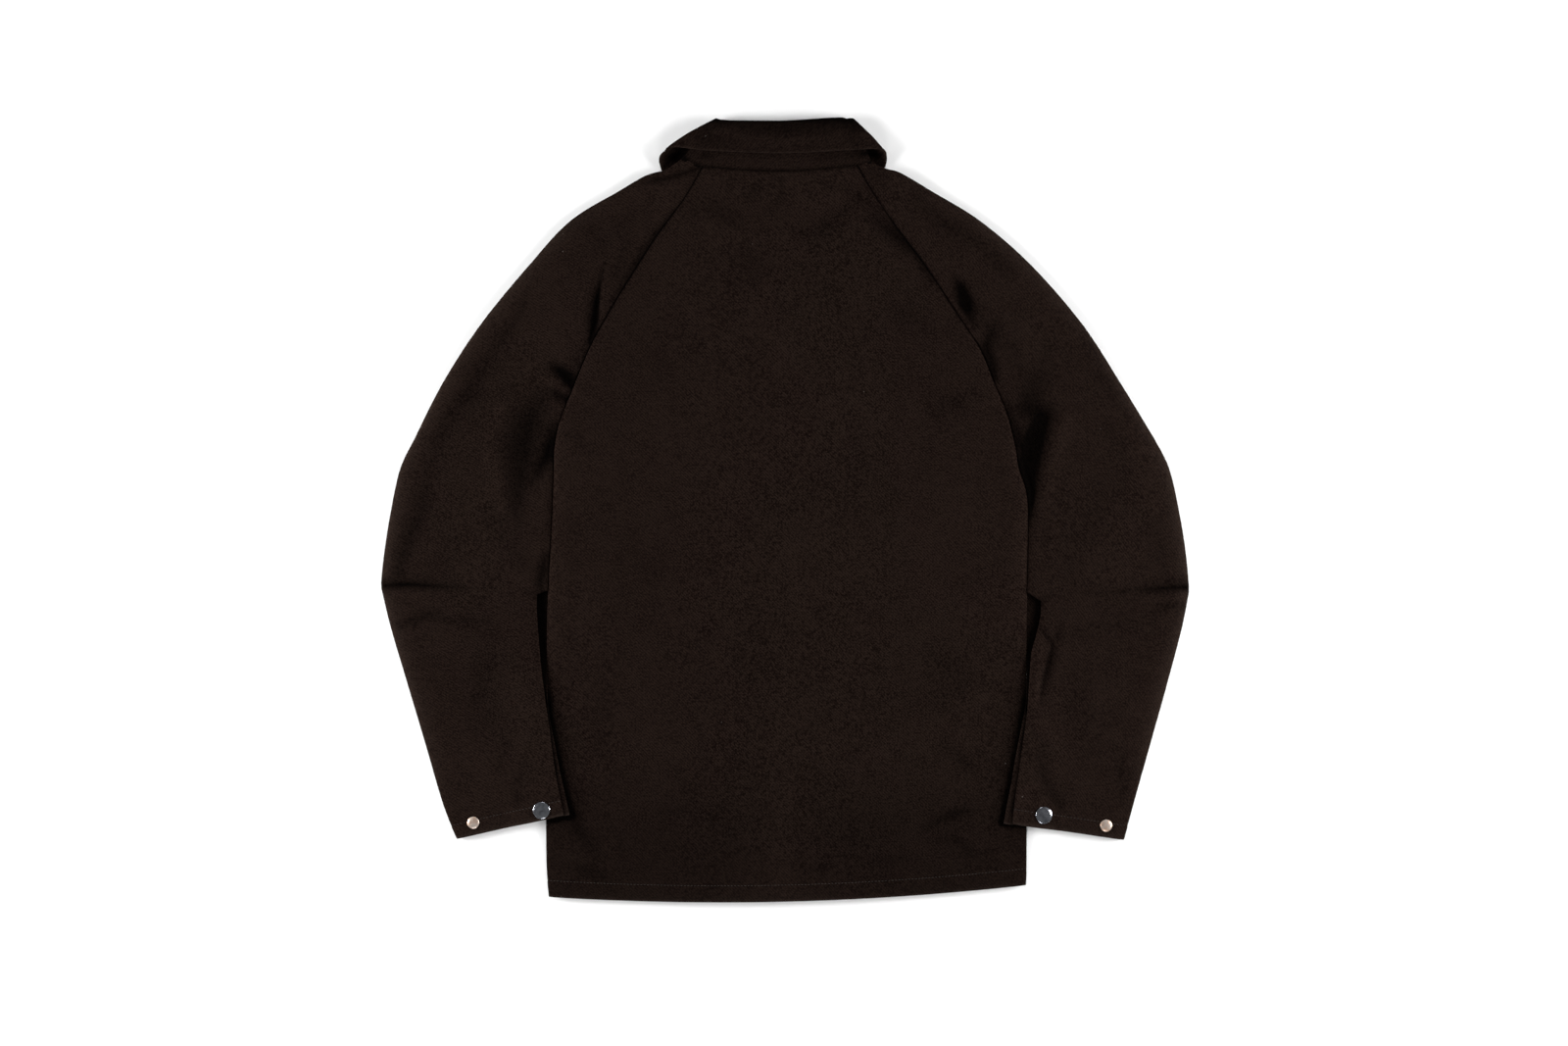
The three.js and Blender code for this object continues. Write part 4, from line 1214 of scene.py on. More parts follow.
@dataclass
class Back(Garment):
    """The one-piece back, from the neck seam to the hem."""

    neck_dip: float = 5.5
    hem_dip: float = 10.5
    columns: int = 150
    row_step: float = 3.2
    folds: tuple[Fold, ...] = (
        Fold(((84, 302, 7, 0.6), (99, 292, 9, 1.5), (112, 281, 9, 2.1), (127, 269, 9, 1.9), (137, 258, 7, 1.6),
              (146, 244, 8, 1.5), (150, 231, 7, 0.7))),
        Fold(((62, 327, 6, 0.5), (79, 316, 7, 0.9), (94, 303, 6, 0.9))),
        Fold(((-98, 304, 9, 0.5), (-72, 311, 10, 0.9), (-60, 301, 11, 0.9), (-44, 292, 8, 0.5))),
        Fold(((14, 282, 10, 0.5), (38, 287, 10, 1.0), (54, 299, 10, 0.7), (68, 311, 9, 0.6))),
        Fold(((-27, 331, 4, 0.8), (-38, 318, 5, 0.6))),
        Fold(((-3, 337, 2.6, 0.9), (-6, 316, 3.5, 0.8), (-18, 304, 5, 0.4))),
        Fold(((34, 336, 4, 0.6), (46, 330, 5, 0.6))),
        Fold(((-52, 337, 4, 0.4), (-58, 326, 5, 0.4))),
        Fold(((-36, 263, 13, 0.6), (-30, 244, 13, 0.6))),
        Fold(((156, 104, 13, 0.6), (172, 111, 12, 0.7), (188, 120, 10, 0.4))),
        Fold(((118, 200, 14, 0.4), (140, 186, 12, 0.5))),
        Fold(((0, -236, 4, 0.5), (24, -223, 4, 0.8), (49, -203, 3.5, 0.5)), FoldKind.SHARP),
        Fold(((143, -324, 4, 0.4), (160, -315, 5, 1.1), (175, -309, 5.5, 1.4), (189, -307, 4, 0.7))),
        Fold(((162, -240, 7, 0.5), (181, -256, 8, 1.1), (190, -263, 6, 0.6))),
        Fold(((196, -246, 4, 0.4), (214, -260, 4, 0.5), (230, -274, 4, 0.5))),
        Fold(((-128, -309, 3.5, 0.5), (-104, -306, 3.5, 0.4))),
        Fold(((-219, -312, 7, 1.0), (-208, -329, 8, 1.0), (-194, -346, 9, 0.5))),
        Fold(((-210, -367, 7, 0.7), (-186, -373, 7, 0.7))),
        Fold(((171, -334, 7, 0.6), (188, -349, 7, 0.7))),
        Fold(((20, -365, 5, 0.6), (39, -367, 5, 0.5))),
        Fold(((88, -359, 5, 0.4), (122, -355, 5, 0.4))),
        Fold(((-224, 76, 4.5, 0.5), (-211, 73, 4.5, 0.7), (-199, 60, 4.5, 0.5))),
        Fold(((150, -150, 14, 0.5), (175, -165, 16, 0.6), (160, -190, 14, 0.4))),
        Fold(((-190, -180, 14, 0.4), (-186, -240, 14, 0.5))),
        Fold(((-228, 30, 7, -0.5), (-231, -20, 7, -0.4))),
        Fold(((238, -10, 6, -0.5), (236, -60, 6, -0.5))),
    )

    def build(self, finish: bpy.types.Material, thread: bpy.types.Material) -> None:
        """Makes the back with its hem stitches.

        Args:
            finish: The twill.
            thread: The thread.
        """
        side = LEFT_ARM.body_side
        fine = ((side.length - LYING.hem - 4, side.length, 1.6),)
        panel = Panel(
            runs=[
                Run(LEFT_ARM.raglan, RIGHT_ARM.raglan, refined(LEFT_ARM.raglan.length, self.row_step)[:-1],
                    seam_turn, seam_turn, lambda share: self.neck_dip * (1 - share)),
                Run(side, RIGHT_ARM.body_side, refined(side.length, self.row_step, fine),
                    fully, fully, lambda share: self.hem_dip * share**2),
            ],
            columns=self.columns, turning=UPPER_TURNING, is_upper=True,
            height=LYING.back, top=LYING.back, bottom=LYING.lower,
            folds=self.folds, ripple=Ripple(0.22, 1.0),
        )
        shell = ClothShell(
            "back_cloth", panel.middle(), LYING.cloth, 1.0,
            extra_inside=lambda s: hem_inside(s, LYING.hem),
            relief_outside=self._relief, wear=hem_wear_and_highlight, shade=self._shade,
        )
        cloth = shell.build()
        self.dress(cloth, finish, "back")
        path, up = line_on(shell, shell.from_bottom, LYING.hem)
        stitches = StitchLine("back_hem_stitches", path, up).build()
        self.dress(stitches, thread)
        self.declare(shell, cloth, ["front_left_cloth", "front_right_cloth"], [stitches])

    def _shade(self, shell: ClothShell) -> Array:
        """Painted shade in the creases, along the seams, beside the forearms and towards the hem, and a
        painted highlight along the sides.

        Args:
            shell: The shell.

        Returns:
            The amount at each grid point.
        """
        y = shell.grid[..., 1]
        side = np.minimum(shell.from_left, shell.from_right)
        x = shell.grid[..., 0]
        # Painted shadow of the forearms on the back (beside).
        beside = sum(painted_forearm_shadow(shell, arm, 0.9, 0.2) for arm in (LEFT_ARM, RIGHT_ARM))
        below_cuff = np.where(x > 0, -321.0, -313.5 - 0.15 * np.maximum(0, -218 - x))
        beside = beside * smooth(-165, -200, y) * smooth(0, 3.5, y - below_cuff + 4.5)
        # Painted shade: darker towards the hem, less in the middle (low).
        low = 0.3 * smooth(-235, -335, y) * smooth(-30, 60, np.abs(x))
        # Painted highlight along the lit sides of the back (rim), taken off the shade.
        rim = 0.16 * np.exp(-((side / 14) ** 2)) * smooth(100, 60, y) * smooth(-190, -120, y)
        return (crease_shade(shell, self.folds) + 0.6 * seam_shade(shell.from_top)
                + seam_shade(side) * smooth(160, 190, y) + beside + low - rim)

    def _relief(self, shell: ClothShell) -> Array:
        """The hem, and the low swell of the seam allowance along the neck and raglan seams.

        Args:
            shell: The shell.

        Returns:
            The height added at each grid point.
        """
        neck = 0.25 * np.exp(-(((shell.from_top - 6) / 4) ** 2))
        nearest = np.minimum(shell.from_left, shell.from_right)
        above = smooth(40, 90, shell.grid[..., 1])
        wander = shell.from_top + 2.0 * np.sin(shell.from_top / 23.0)
        pucker = 0.1 * np.sin(wander * 2 * math.pi / 13.0) * np.exp(-((nearest / 9) ** 2)) * above
        return hem_relief(LYING.hem)(shell) + neck + pucker


@dataclass
class Front(Garment):
    """One plain front, from the neck seam to the hem and past the middle."""

    arm: Arm = LEFT_ARM
    placket: float = 16.0
    neck_dip: float = 16.5
    hem_y: float = -397.0
    hem_rise: float = 2.0
    hem_dip: float = 2.7
    columns: int = 64
    row_step: float = 5.0

    def build(self, finish: bpy.types.Material) -> None:
        """Makes the front.

        Args:
            finish: The twill.
        """
        arm = self.arm
        is_left = arm.side < 0
        height = LYING.lower if is_left else LYING.lower_lapped
        placket_x = -arm.side * self.placket
        underarm = arm.raglan.points[-1][1]
        points = arm.body_side.points
        side = SmoothCurve((*points[:-1], (points[-1][0], points[-1][1] + self.hem_rise)))
        upper_placket = SmoothCurve(((placket_x, LYING.front_neck_y), (placket_x, underarm)))
        lower_placket = SmoothCurve(((placket_x, underarm), (placket_x, self.hem_y)))

        def run(edge: SmoothCurve, placket: SmoothCurve, shares: Array, turned: Height,
                dip: Callable[[Array], Array]) -> Run:
            """A run of the front, with its own side and the placket on the right hands."""
            flat_edge = np.zeros_like
            if is_left:
                return Run(edge, placket, shares, turned, flat_edge, dip)
            return Run(placket, edge, shares, flat_edge, turned, dip)

        fine = ((side.length - LYING.hem - 4, side.length, 2.5),)
        panel = Panel(
            runs=[
                run(arm.front_raglan, upper_placket, refined(arm.front_raglan.length, self.row_step)[:-1],
                    under_seam_turn, lambda share: self.neck_dip * (1 - share) ** 1.5),
                run(side, lower_placket, refined(side.length, self.row_step, fine), fully,
                    lambda share: self.hem_dip * share**2),
            ],
            columns=self.columns, turning=LOWER_TURNING, is_upper=False,
            height=height, top=LYING.back, bottom=height,
        )
        shell = ClothShell(
            f"front_{arm.name}_cloth", panel.middle(), LYING.cloth, -1.0,
            extra_inside=lambda s: hem_inside(s, LYING.hem) * (1 - smooth(52, 26, np.abs(s.grid[..., 0]))),
            wear=hem_wear_and_highlight,
        )
        cloth = shell.build()
        self.dress(cloth, finish, f"front_{arm.name}")
        rests = ["floor"] if is_left else ["floor", "front_left_cloth"]
        self.declare(shell, cloth, rests)


@dataclass
class Sleeve(Garment):
    """The two halves of one raglan sleeve, with the stitches of its cuff."""

    arm: Arm = LEFT_ARM
    columns: int = 60
    row_step: float = 3.2
    under_columns: int = 26
    under_row_step: float = 5.0

    def build(self, finish: bpy.types.Material, thread: bpy.types.Material) -> ClothShell:
        """Makes both halves of the sleeve.

        Args:
            finish: The twill.
            thread: The thread.

        Returns:
            The shell of the back half, which carries the snap and the rivet.
        """
        name = self.arm.name
        under = ClothShell(
            f"sleeve_front_{name}_cloth", self._panel(False).middle(), LYING.cloth, -1.0,
            extra_inside=lambda s: hem_inside(s, LYING.cuff_hem), wear=self._wear_and_highlight, shade=self._painted_slot_shade,
        )
        under_cloth = under.build()
        self.dress(under_cloth, finish, f"sleeve_front_{name}")
        self.declare(under, under_cloth, ["floor", "back_cloth"])
        over = ClothShell(
            f"sleeve_back_{name}_cloth", self._panel(True).middle(), LYING.cloth, 1.0,
            extra_inside=lambda s: hem_inside(s, LYING.cuff_hem),
            relief_outside=self._relief, wear=self._wear_and_highlight, shade=self._shade,
        )
        over_cloth = over.build()
        self.dress(over_cloth, finish, f"sleeve_back_{name}")
        path, up = line_on(over, over.from_bottom, LYING.cuff_hem)
        stitches = StitchLine(f"cuff_stitches_{name}", path, up).build()
        self.dress(stitches, thread)
        self.declare(over, over_cloth, [f"sleeve_front_{name}_cloth"], [stitches])
        return over

    def _panel(self, is_upper: bool) -> Panel:
        """One half of the sleeve.

        Args:
            is_upper: True for the back half, which lies on top.

        Returns:
            Its panel.
        """
        arm = self.arm
        step = self.row_step if is_upper else self.under_row_step
        top, bottom = LYING.sleeve_top, LYING.sleeve_bottom

        def lap(share: Array) -> Array:
            """How far the inner edge is turned along the forearm."""
            grown = smooth(0.4, 0.6, share)
            return 1 - 0.9 * grown if is_upper else 0.05 + 1.95 * grown

        def run(outer: SmoothCurve, inner: SmoothCurve, shares: Array, inner_turn: Height) -> Run:
            """A run of the sleeve, with its outer fold and inner edge on the right hands."""
            if arm.side < 0:
                return Run(outer, inner, shares, fully, inner_turn)
            return Run(inner, outer, shares, inner_turn, fully)

        inside = arm.forearm_inside if is_upper else arm.forearm_under
        bend = (SmoothCurve((arm.upper_arm.points[-1], arm.forearm.points[0])),
                SmoothCurve((arm.upper_arm_inside.points[-1], inside.points[0])))
        upper_arm, forearm = arm.upper_arm.length, arm.forearm.length
        elbow = ((upper_arm - 18, upper_arm, min(step, 2.0)),)
        cuff = ((0, 12, min(step, 2.0)), (forearm - LYING.cuff_hem - 4, forearm, min(step, 1.6)))
        return Panel(
            runs=[
                run(arm.shoulder, arm.raglan if is_upper else arm.front_raglan,
                    refined(arm.shoulder.length, step)[:-1], seam_turn if is_upper else under_seam_turn),
                run(arm.upper_arm, arm.upper_arm_inside, refined(upper_arm, step, elbow), fully),
                run(*bend, np.array([0.2, 0.4, 0.6, 0.8]), lambda share: 1 + (lap(0 * share) - 1) * share),
                run(arm.forearm, inside, refined(forearm, step, cuff), lap),
            ],
            columns=self.columns if is_upper else self.under_columns,
            turning=UPPER_TURNING if is_upper else SLEEVE_TURNING, is_upper=is_upper,
            height=top if is_upper else bottom, top=top, bottom=bottom,
            folds=arm.folds if is_upper else (),
            ripple=Ripple(0.3 if is_upper else 0.0, 2.0 + arm.side),
        )

    def _relief(self, shell: ClothShell) -> Array:
        """The stitched cuff, with small puckers along the raglan seam.

        Args:
            shell: The shell.

        Returns:
            The height added at each grid point.
        """
        inner = shell.from_right if self.arm.side < 0 else shell.from_left
        above = smooth(40, 90, shell.grid[..., 1])
        wander = shell.from_top + 2.0 * np.sin(shell.from_top / 19.0)
        pucker = 0.12 * np.sin(wander * 2 * math.pi / 14.0) * np.exp(-((inner / 10) ** 2)) * above
        return hem_relief(LYING.cuff_hem)(shell) + pucker

    def _painted_slot_shade(self, shell: ClothShell) -> Array:
        """Painted shade on the strip of the front half that shows in the slot beside the forearm.

        Args:
            shell: The shell.

        Returns:
            The amount at each grid point.
        """
        inner = shell.from_right if self.arm.side < 0 else shell.from_left
        y = shell.grid[..., 1]
        x = shell.grid[..., 0]
        strip = smooth(40, 20, inner) * smooth(60, 10, y)
        edge = self.arm.forearm_inside.at(np.linspace(0, 1, 120))
        hidden = (x - np.interp(-y, -edge[:, 1], edge[:, 0])) * self.arm.side
        # Painted shade: darkest in the slot beside the forearm and under the back half's lapped edge.
        below = smooth(-160, -200, y)
        core = 13.5 if self.arm.side < 0 else 8.5
        slot = (1 - below) * (0.35 + 0.65 * np.exp(-((np.minimum(hidden, 0) / core) ** 4)))
        lapped = below * (0.12 + 0.85 * np.exp(-((np.minimum(hidden + 0.6, 0) / 1.5) ** 2)))
        return strip * (slot + lapped)

    def _shade(self, shell: ClothShell) -> Array:
        """Painted shade in the creases and along the seam, and a painted highlight along the outer fold.

        Args:
            shell: The shell.

        Returns:
            The amount at each grid point.
        """
        inner = shell.from_right if self.arm.side < 0 else shell.from_left
        outer = shell.from_left if self.arm.side < 0 else shell.from_right
        y = shell.grid[..., 1]
        # Painted highlight along the outer fold (rim), taken off the shade.
        rim = 0.2 * np.exp(-((outer / 18) ** 2)) * smooth(-330, -200, y) * smooth(340, 280, y)
        return (crease_shade(shell, self.arm.folds) - rim
                + seam_shade(inner) * smooth(-110, -60, shell.grid[..., 1]))

    def _wear_and_highlight(self, shell: ClothShell) -> Array:
        """Wear and a painted edge highlight along the cuff, and a light painted highlight along the outer
        fold.

        Args:
            shell: The shell.

        Returns:
            The amount at each grid point.
        """
        outer = shell.from_left if self.arm.side < 0 else shell.from_right
        y = shell.grid[..., 1]
        # Painted highlight along the outer fold, carried with the wear.
        along = smooth(-330, -200, y) * smooth(340, 280, y)
        return hem_wear_and_highlight(shell) + 0.3 * np.exp(-((outer / 11) ** 2)) * along


@dataclass(frozen=True)
class CollarRow:
    """One section of the collar: where it joins the neck, how far it has turned, its roll and its edge."""

    neck: float
    around: float
    roll_x: float
    roll_y: float
    edge_x: float
    edge_y: float
    bulge: float


@dataclass
class Collar(Garment):
    """The stand and the turned-down fall, one folded piece of two layers round the neck."""

    thickness: float = 2.0
    height: float = 6.0
    stand_away: float = 2.2
    fall_away: float = 5.0
    placket: float = 16.0
    back_dip: float = 5.5
    front_dip: float = 16.5
    stand_steps: int = 8
    roll_steps: int = 10
    fall_steps: int = 18
    steps_between: int = 9
    tucked: float = 3.5
    stand_length: float = 48.0
    # Painted shade spots in the hollows under the fall's ends: x, y, width, height and amount.
    painted_shade_spots: tuple[tuple[float, float, float, float, float], ...] = (
        (-112, 361, 14, 9, 0.9), (-101, 364, 5, 3, 0.6), (-81, 361, 5, 4, 0.5), (86, 363, 18, 4, 0.9),
        (48, 361, 14, 5, 0.3), (-84, 380, 12, 13, 0.3), (-62, 371, 12, 7, 0.25), (70, 380, 12, 14, 0.2),
    )
    rows: tuple[CollarRow, ...] = (
        CollarRow(0, -90, -7, 291, -50, 222, 0),
        CollarRow(0.5, -90, -48, 312, -79, 262, 0),
        CollarRow(1, -90, -82, 352, -108, 310, 2),
        CollarRow(1.5, -90, -76, 383, -122, 338, 3),
        CollarRow(1.8, -45, -70, 391, -125, 347, 2),
        CollarRow(2, 0, -69, 393, -125.5, 353.5, 2.5),
        CollarRow(2, 45, -68.5, 394.2, -122.5, 360, 2.5),
        CollarRow(2.25, 90, -67, 395.4, -114, 369, 2),
        CollarRow(3, 90, -52, 394.4, -78, 365.5, 0),
        CollarRow(3.5, 90, 0, 394.2, -3, 363, 0),
        CollarRow(4, 90, 52, 397.3, 66, 366, 0),
        CollarRow(4.75, 90, 63, 396, 91.5, 367, 0.7),
        CollarRow(5, 45, 66, 394.8, 98.5, 362.5, 1),
        CollarRow(5, 0, 67, 393.6, 100, 356.5, 1.2),
        CollarRow(5.2, -45, 67, 391, 100, 349, 2),
        CollarRow(5.6, -90, 70, 383, 97, 336, 1),
        CollarRow(6, -90, 76, 352, 95, 310, 1),
        CollarRow(6.5, -90, 48, 312, 75, 262, 0),
        CollarRow(7, -90, 7, 291, 50, 222, 0),
    )

    def build(self, finish: bpy.types.Material) -> None:
        """Makes the collar.

        Args:
            finish: The twill.
        """
        shell = ClothShell(
            "collar_cloth", self._middle(), self.thickness, -1.0,
            relief_outside=self._relief, wear=self._wear_and_highlight, shade=self._shade,
        )
        cloth = shell.build()
        self.dress(cloth, finish, "collar")
        self.declare(shell, cloth, ["floor", "back_cloth"])

    def _between(self, key: str, at: float) -> float:
        """A smooth value of one column of the rows.

        Args:
            key: The column's name.
            at: The place among the rows.

        Returns:
            The value there.
        """
        values = [getattr(row, key) for row in self.rows]
        last = len(values) - 1
        i = min(int(at), last - 1)
        t = at - i
        a, b, c, d = (values[min(max(k, 0), last)] for k in (i - 1, i, i + 1, i + 2))
        return b + 0.5 * t * (c - a + t * (2 * a - 5 * b + 4 * c - d + t * (3 * (b - c) + d - a)))

    def _neck(self, neck: float) -> Array:
        """A point of the neck seam, counted by its corners from the left front end.

        Args:
            neck: The place along the neck seam.

        Returns:
            The point's x and y.
        """
        left_back, left_side, left_front = (-83.5, 350.0), (-105.0, 358.0), (-92.0, 326.0)
        right_back, right_side, right_front = (74.0, 351.0), (88.0, 355.0), (84.0, 326.0)
        left_end, right_end = (self.placket, LYING.front_neck_y), (-self.placket, LYING.front_neck_y)

        def dipped(a: tuple[float, float], b: tuple[float, float], dip: float, t: float) -> Array:
            """A point between two corners of the neck seam."""
            return np.array([a[0] + (b[0] - a[0]) * t, a[1] + (b[1] - a[1]) * t - dip * 4 * t * (1 - t)])

        def front_share(corner: tuple[float, float], side: int) -> float:
            """How much of a front's neck seam the collar takes up."""
            return (3 - corner[0] * side) / (-side * self.placket - corner[0]) / side

        t = neck - min(int(neck), 6)
        runs = (
            lambda: dipped(left_front, left_end, self.front_dip, front_share(left_front, -1) * (1 - t)),
            lambda: dipped(left_front, left_side, 0.0, t),
            lambda: dipped(left_side, left_back, 0.0, t),
            lambda: dipped(left_back, right_back, self.back_dip, t),
            lambda: dipped(right_back, right_side, 0.0, t),
            lambda: dipped(right_side, right_front, 0.0, t),
            lambda: dipped(right_front, right_end, self.front_dip, front_share(right_front, 1) * t),
        )
        return runs[min(int(neck), 6)]()

    def _middle(self) -> Array:
        """The grid of the collar's middle, one row for each section from front end to front end."""
        count = (len(self.rows) - 1) * self.steps_between
        return np.stack([self._section(i, count) for i in range(count + 1)])

    def _section(self, i: int, count: int) -> Array:
        """One section, from the neck seam over the roll to the free edge.

        Args:
            i: The section's number.
            count: The last section's number.

        Returns:
            One row of x, y, z for each point.
        """
        at = i / self.steps_between
        low = min(int(at), len(self.rows) - 2)
        first, second = self.rows[low], self.rows[low + 1]
        around = math.radians(first.around + (second.around - first.around) * (at - low))
        neck = self._neck(first.neck + (second.neck - first.neck) * (at - low))
        roll = np.array([self._between("roll_x", at), self._between("roll_y", at)])
        free = np.array([self._between("edge_x", at), self._between("edge_y", at)])
        up = (roll - neck) / np.linalg.norm(roll - neck)
        down = (free - roll) / np.linalg.norm(free - roll)
        is_left = i < count / 2
        outward = np.array([down[1], -down[0]]) * (1 if is_left else -1)
        level, aside = math.sin(around), math.cos(around)

        def place(plan: Array, away: float, lean: float = 1.0) -> Array:
            """A point of the section, away from the flattened neck's middle."""
            moved = plan + outward * away * aside * lean
            return np.array([moved[0], moved[1], self.height + away * level])

        start = neck + up * (0.5 - self.tucked * abs(level))
        start[0] += (1 if is_left else -1) * (self.thickness / 2 + LYING.seam) * aside
        points = []
        for t in np.linspace(0, 1, self.stand_steps, endpoint=False):
            points.append(place(start + (roll - start) * t, self.stand_away, t))
        radius = (self.fall_away - self.stand_away) / 2
        for angle in np.linspace(-QUARTER, QUARTER, self.roll_steps + 1):
            points.append(place(roll + up * radius * math.cos(angle),
                                self.stand_away + radius + radius * math.sin(angle)))
        bulge = self._between("bulge", at)
        for t in np.linspace(0, 1, self.fall_steps + 1)[1:]:
            plan = roll + (free - roll) * t + outward * bulge * 4 * t * (1 - t)
            points.append(place(plan, self.fall_away))
        return np.array(points)

    def _relief(self, shell: ClothShell) -> Array:
        """The fall's turned and pressed edge, and soft waves along the collar.

        Args:
            shell: The shell.

        Returns:
            The height added at each grid point.
        """
        edge = shell.from_right
        swell = 0.3 * smooth(7, 3.5, edge)
        groove = -0.2 * np.exp(-(((edge - 6.5) / 1.2) ** 2))
        along = shell.from_top
        waves = 0.25 * np.sin(along / 17.0 + 0.5) * np.sin(edge / 9.0)
        waves = waves + 0.15 * np.sin(along / 7.3 + edge / 6)
        back = smooth(0, 0.5, shell.normal[..., 2])
        return (swell + groove + waves * smooth(1, 8, edge)) * back

    def _shade(self, shell: ClothShell) -> Array:
        """A dark line where the stand is sewn on, a slight darkening of the whole collar, and painted shade
        under the fall, in spots at its ends and along the top of its roll.

        Args:
            shell: The shell.

        Returns:
            The amount at each grid point.
        """
        x, y = shell.grid[..., 0], shell.grid[..., 1]
        joined = 0.9 * np.exp(-((np.maximum(shell.from_left - self.tucked - 0.2, 0) / 1.1) ** 2))
        # Painted shade about the roll and under the fall.
        under_fall_shade = smooth(self.stand_length * 0.35, self.stand_length * 0.7, shell.from_left)
        under_fall_shade = under_fall_shade * smooth(self.stand_length * 1.6, self.stand_length * 1.3, shell.from_left)
        dark = np.zeros_like(x)
        for cx, cy, wide, tall, amount in self.painted_shade_spots:
            dark = np.maximum(dark, amount * np.exp(-(((x - cx) / wide) ** 2) - ((y - cy) / tall) ** 2))
        edge = smooth(2.0, 5.0, shell.from_right)
        # Painted shade along the top of the roll (top).
        top = 0.35 * np.exp(-((np.maximum(0, 396.5 - y) / 2.5) ** 2))
        return 0.16 + joined + (0.5 * under_fall_shade + dark) * edge + top

    def _wear_and_highlight(self, shell: ClothShell) -> Array:
        """Wear and a painted highlight along the fall's free edge."""
        return 0.3 * np.exp(-((shell.from_right / 0.9) ** 2))


@dataclass(frozen=True)
class CapShape:
    """The profile of a pressed metal cap."""

    radius: float
    height: float
    rim: float
    dome: float


@dataclass
class Fastenings:
    """The snap caps and rivets of both cuffs, and the snap caps of the front."""

    snap: CapShape = CapShape(8.6, 1.8, 0.9, 2.0)
    rivet: CapShape = CapShape(6.1, 1.7, 1.1, 1.6)
    front_count: int = 5
    front_top: float = 258.0
    front_bottom: float = -330.0
    segments: int = 64

    def build(self, cloths: dict[str, ClothShell], steel: bpy.types.Material,
              copper: bpy.types.Material) -> None:
        """Makes every cap.

        Args:
            cloths: The back half of each sleeve, by the sleeve's name.
            steel: The finish of the snaps.
            copper: The finish of the rivets.
        """
        for arm in (LEFT_ARM, RIGHT_ARM):
            cloth = cloths[arm.name]
            self._cuff_cap(f"snap_cuff_{arm.name}", self.snap, cloth, arm.snap_at, steel, 0.0)
            dent = 0.16 if arm.side < 0 else 0.05
            self._cuff_cap(f"rivet_cuff_{arm.name}", self.rivet, cloth, arm.rivet_at, copper,
                           dent)
        for i in range(self.front_count):
            y = self.front_top + (self.front_bottom - self.front_top) * i / (self.front_count - 1)
            vertices, faces = self._cap(self.snap, 0.0)
            vertices = vertices * np.array([1, -1, -1]) + np.array([0, y, self.snap.height])
            self._finish(f"snap_front_{i + 1}", vertices, faces, steel)

    def _cap(self, shape: CapShape, dents: float) -> tuple[Array, Array]:
        """The points and faces of one cap, its flat side at z = 0.

        Args:
            shape: Its profile.
            dents: How deep small dents in its top are.

        Returns:
            The points and the faces.
        """
        r, h = shape.radius, shape.height
        profile = [(0.55 * r, 0.0), (0.9 * r, 0.0), (0.975 * r, 0.12 * h), (r, 0.3 * h), (0.99 * r, 0.45 * h),
                   (0.95 * r, 0.56 * h), (0.9 * r, 0.58 * h), (0.87 * r, 0.56 * h)]
        for share in (0.83, 0.76, 0.68, 0.58, 0.47, 0.35, 0.22, 0.1):
            level = 0.56 * h + (h - 0.56 * h) * (1 - (share / 0.87) ** 2) ** (1 / shape.dome)
            profile.append((share * r, level))
        angles = np.linspace(0, 2 * math.pi, self.segments, endpoint=False)
        vertices = [[0.0, 0.0, 0.0]]
        for radius, z in profile:
            for a in angles:
                x, y = radius * math.cos(a), radius * math.sin(a)
                top = smooth(0.8 * r, 0.55 * r, np.array(radius)) if z > 0.5 * h else 0.0
                cross = math.exp(-((x * 0.8 + y * 0.6) / 0.7) ** 2)
                cross += math.exp(-((x * 0.5 - y * 0.9) / 0.7) ** 2)
                hollow = math.exp(-(((x - 1.2) / 1.6) ** 2) - ((y + 0.8) / 1.4) ** 2)
                vertices.append([x, y, z - dents * float(top) * (cross + hollow)])
        vertices.append([0.0, 0.0, h - dents * 2])
        n = self.segments
        faces = []
        for k in range(len(profile) - 1):
            for j in range(n):
                after = (j + 1) % n
                low, high = 1 + k * n, 1 + (k + 1) * n
                faces.append((low + j, low + after, high + after, high + j))
        last = 1 + (len(profile) - 1) * n
        for j in range(0, n, 2):
            faces.append((0, 1 + (j + 2) % n, 1 + (j + 1) % n, 1 + j))
            faces.append((last + n, last + j, last + (j + 1) % n, last + (j + 2) % n))
        return np.array(vertices), np.array(faces)

    def _cuff_cap(self, name: str, shape: CapShape, cloth: ClothShell, at: tuple[float, float],
                  finish: bpy.types.Material, dents: float) -> None:
        """Seats a cap on the cloth of a cuff, tilted as the cloth lies there.

        Args:
            name: The piece's name.
            shape: The cap's profile.
            cloth: The shell that the cap sits on.
            at: The cap's middle, across and up the jacket.
            finish: Its material.
            dents: How deep small dents in its top are.
        """
        x, y = at
        points = cloth.outer.reshape(-1, 3)
        under = points[np.hypot(points[:, 0] - x, points[:, 1] - y) < shape.radius + 0.5]
        plane = np.stack([np.ones(len(under)), under[:, 0] - x, under[:, 1] - y], axis=1)
        level, slope_x, slope_y = np.linalg.lstsq(plane, under[:, 2], rcond=None)[0]
        lift = float(np.max(under[:, 2] - plane @ np.array([level, slope_x, slope_y])))
        up = Vector((-slope_x, -slope_y, 1)).normalized()
        tilt = Vector((0, 0, 1)).rotation_difference(up).to_matrix()
        vertices, faces = self._cap(shape, dents)
        turned = vertices @ np.array(tilt).T + np.array([x, y, level + 0.6 * lift])
        self._finish(name, turned, faces, finish)

    def _finish(self, name: str, vertices: Array, faces: Array, finish: bpy.types.Material) -> None:
        """Makes the object of a cap and puts it in the frame.

        Args:
            name: The piece's name.
            vertices: Its places.
            faces: Its faces.
            finish: Its material.
        """
        thing = mesh_object(f"{name}_cap", vertices, faces)
        thing.data.materials.append(finish)
        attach(thing, "root")
        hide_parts(name)
        log.info("%s", thing.name)


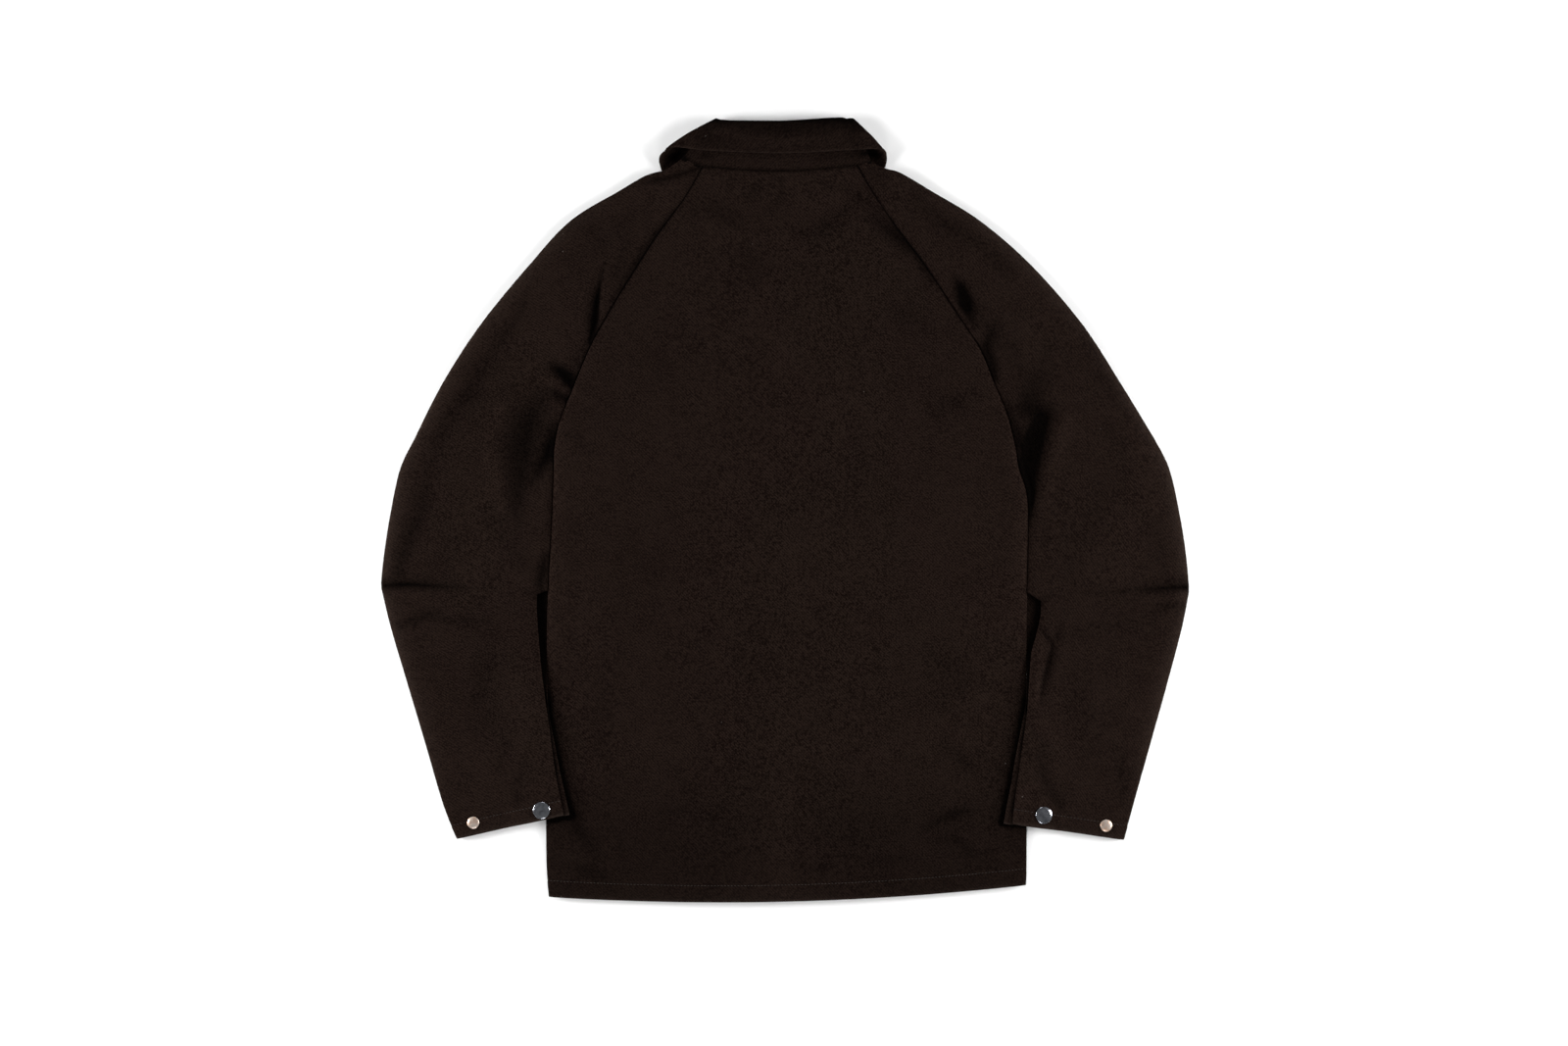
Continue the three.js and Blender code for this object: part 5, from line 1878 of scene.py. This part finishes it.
@dataclass
class Studio:
    """The pale floor, the soft lights and the camera straight above."""

    photo_width: float = 1600.0
    photo_centre: tuple[float, float] = (-1.0, -13.5)
    camera_height: float = 2500.0
    cloth_level: float = 6.0
    sensor: float = 36.0
    floor_size: float = 9.0

    def build(self) -> None:
        """Makes the floor, the lights, the world and the camera."""
        self._floor()
        self._lights()
        self._camera()

    def _floor(self) -> None:
        """A pale floor just under the jacket."""
        half = self.floor_size / 2 / MM
        plan = ((-half, -half), (half, -half), (half, half), (-half, half))
        corners = np.array([(x, y, -0.1) for x, y in plan])
        floor = mesh_object("floor", corners, np.array([[0, 1, 2, 3]]))
        made = bpy.data.materials.new("pale_floor")
        made.use_nodes = True
        shader = made.node_tree.nodes["Principled BSDF"]
        shader.inputs["Base Color"].default_value = (0.93, 0.93, 0.93, 1.0)
        shader.inputs["Roughness"].default_value = 0.9
        shader.inputs["Specular IOR Level"].default_value = 0.1
        floor.data.materials.append(made)

    def _lights(self) -> None:
        """Two side softboxes, weaker ones at the hem's and the collar's side, and an even surround."""
        world = bpy.data.worlds.new("surround")
        bpy.context.scene.world = world
        world.use_nodes = True
        world.node_tree.nodes["Background"].inputs["Color"].default_value = (1.0, 1.0, 1.0, 1.0)
        world.node_tree.nodes["Background"].inputs["Strength"].default_value = 0.13
        for name, place, size, power in (
            ("left_softbox", (-1.75, 0.05, 0.55), 0.8, 56.0),
            ("right_softbox", (1.75, 0.05, 0.55), 0.8, 56.0),
            ("hem_softbox", (0.0, -2.1, 0.75), 0.9, 30.0),
            ("collar_softbox", (0.0, 2.1, 0.9), 0.9, 16.0),
        ):
            lamp = bpy.data.lights.new(name, "AREA")
            lamp.shape = "SQUARE"
            lamp.size = size
            lamp.energy = power
            thing = bpy.data.objects.new(name, lamp)
            thing.location = place
            aim = Vector((0.0, 0.0, 0.0)) - Vector(place)
            thing.rotation_euler = aim.to_track_quat("-Z", "Y").to_euler()
            bpy.context.scene.collection.objects.link(thing)

    def _camera(self) -> None:
        """The camera straight above, with the photograph's frame."""
        data = bpy.data.cameras.new("overhead")
        data.sensor_width = self.sensor
        data.lens = self.sensor * self.camera_height / self.photo_width
        data.clip_start, data.clip_end = 0.05, 50.0
        camera = bpy.data.objects.new("overhead", data)
        x, y = self.photo_centre
        place = Vector((x, y, self.camera_height + self.cloth_level)) * MM
        camera.matrix_world = Matrix.Translation(place)
        bpy.context.scene.collection.objects.link(camera)
        bpy.context.scene.camera = camera
        bpy.context.scene.view_settings.view_transform = "Standard"


def main() -> None:
    """Builds the studio and then the jacket, piece by piece."""
    logging.basicConfig(level=logging.INFO, format="%(name)s: %(message)s")
    Studio().build()
    body_twill = Twill("twill_body", rib_angle=-45.0).material()
    left_twill = Twill("twill_left_sleeve", rib_angle=-58.0).material()
    right_twill = Twill("twill_right_sleeve", rib_angle=-36.0).material()
    collar_twill = Twill("twill_collar", rib_angle=42.0).material()
    thread = Thread().material()
    steel = BareMetal("polished_steel", (0.50, 0.52, 0.57), (0.27, 0.28, 0.32), 0.16, 0.02).material()
    copper = BareMetal("pale_copper", (0.98, 0.82, 0.72), (0.86, 0.58, 0.42), 0.38, 0.05).material()
    Front(arm=LEFT_ARM).build(body_twill)
    Front(arm=RIGHT_ARM).build(body_twill)
    Back().build(body_twill, thread)
    cuffs = {
        "left": Sleeve(arm=LEFT_ARM).build(left_twill, thread),
        "right": Sleeve(arm=RIGHT_ARM).build(right_twill, thread),
    }
    Collar().build(collar_twill)
    Fastenings().build(cuffs, steel, copper)


if __name__ == "__main__":
    main()
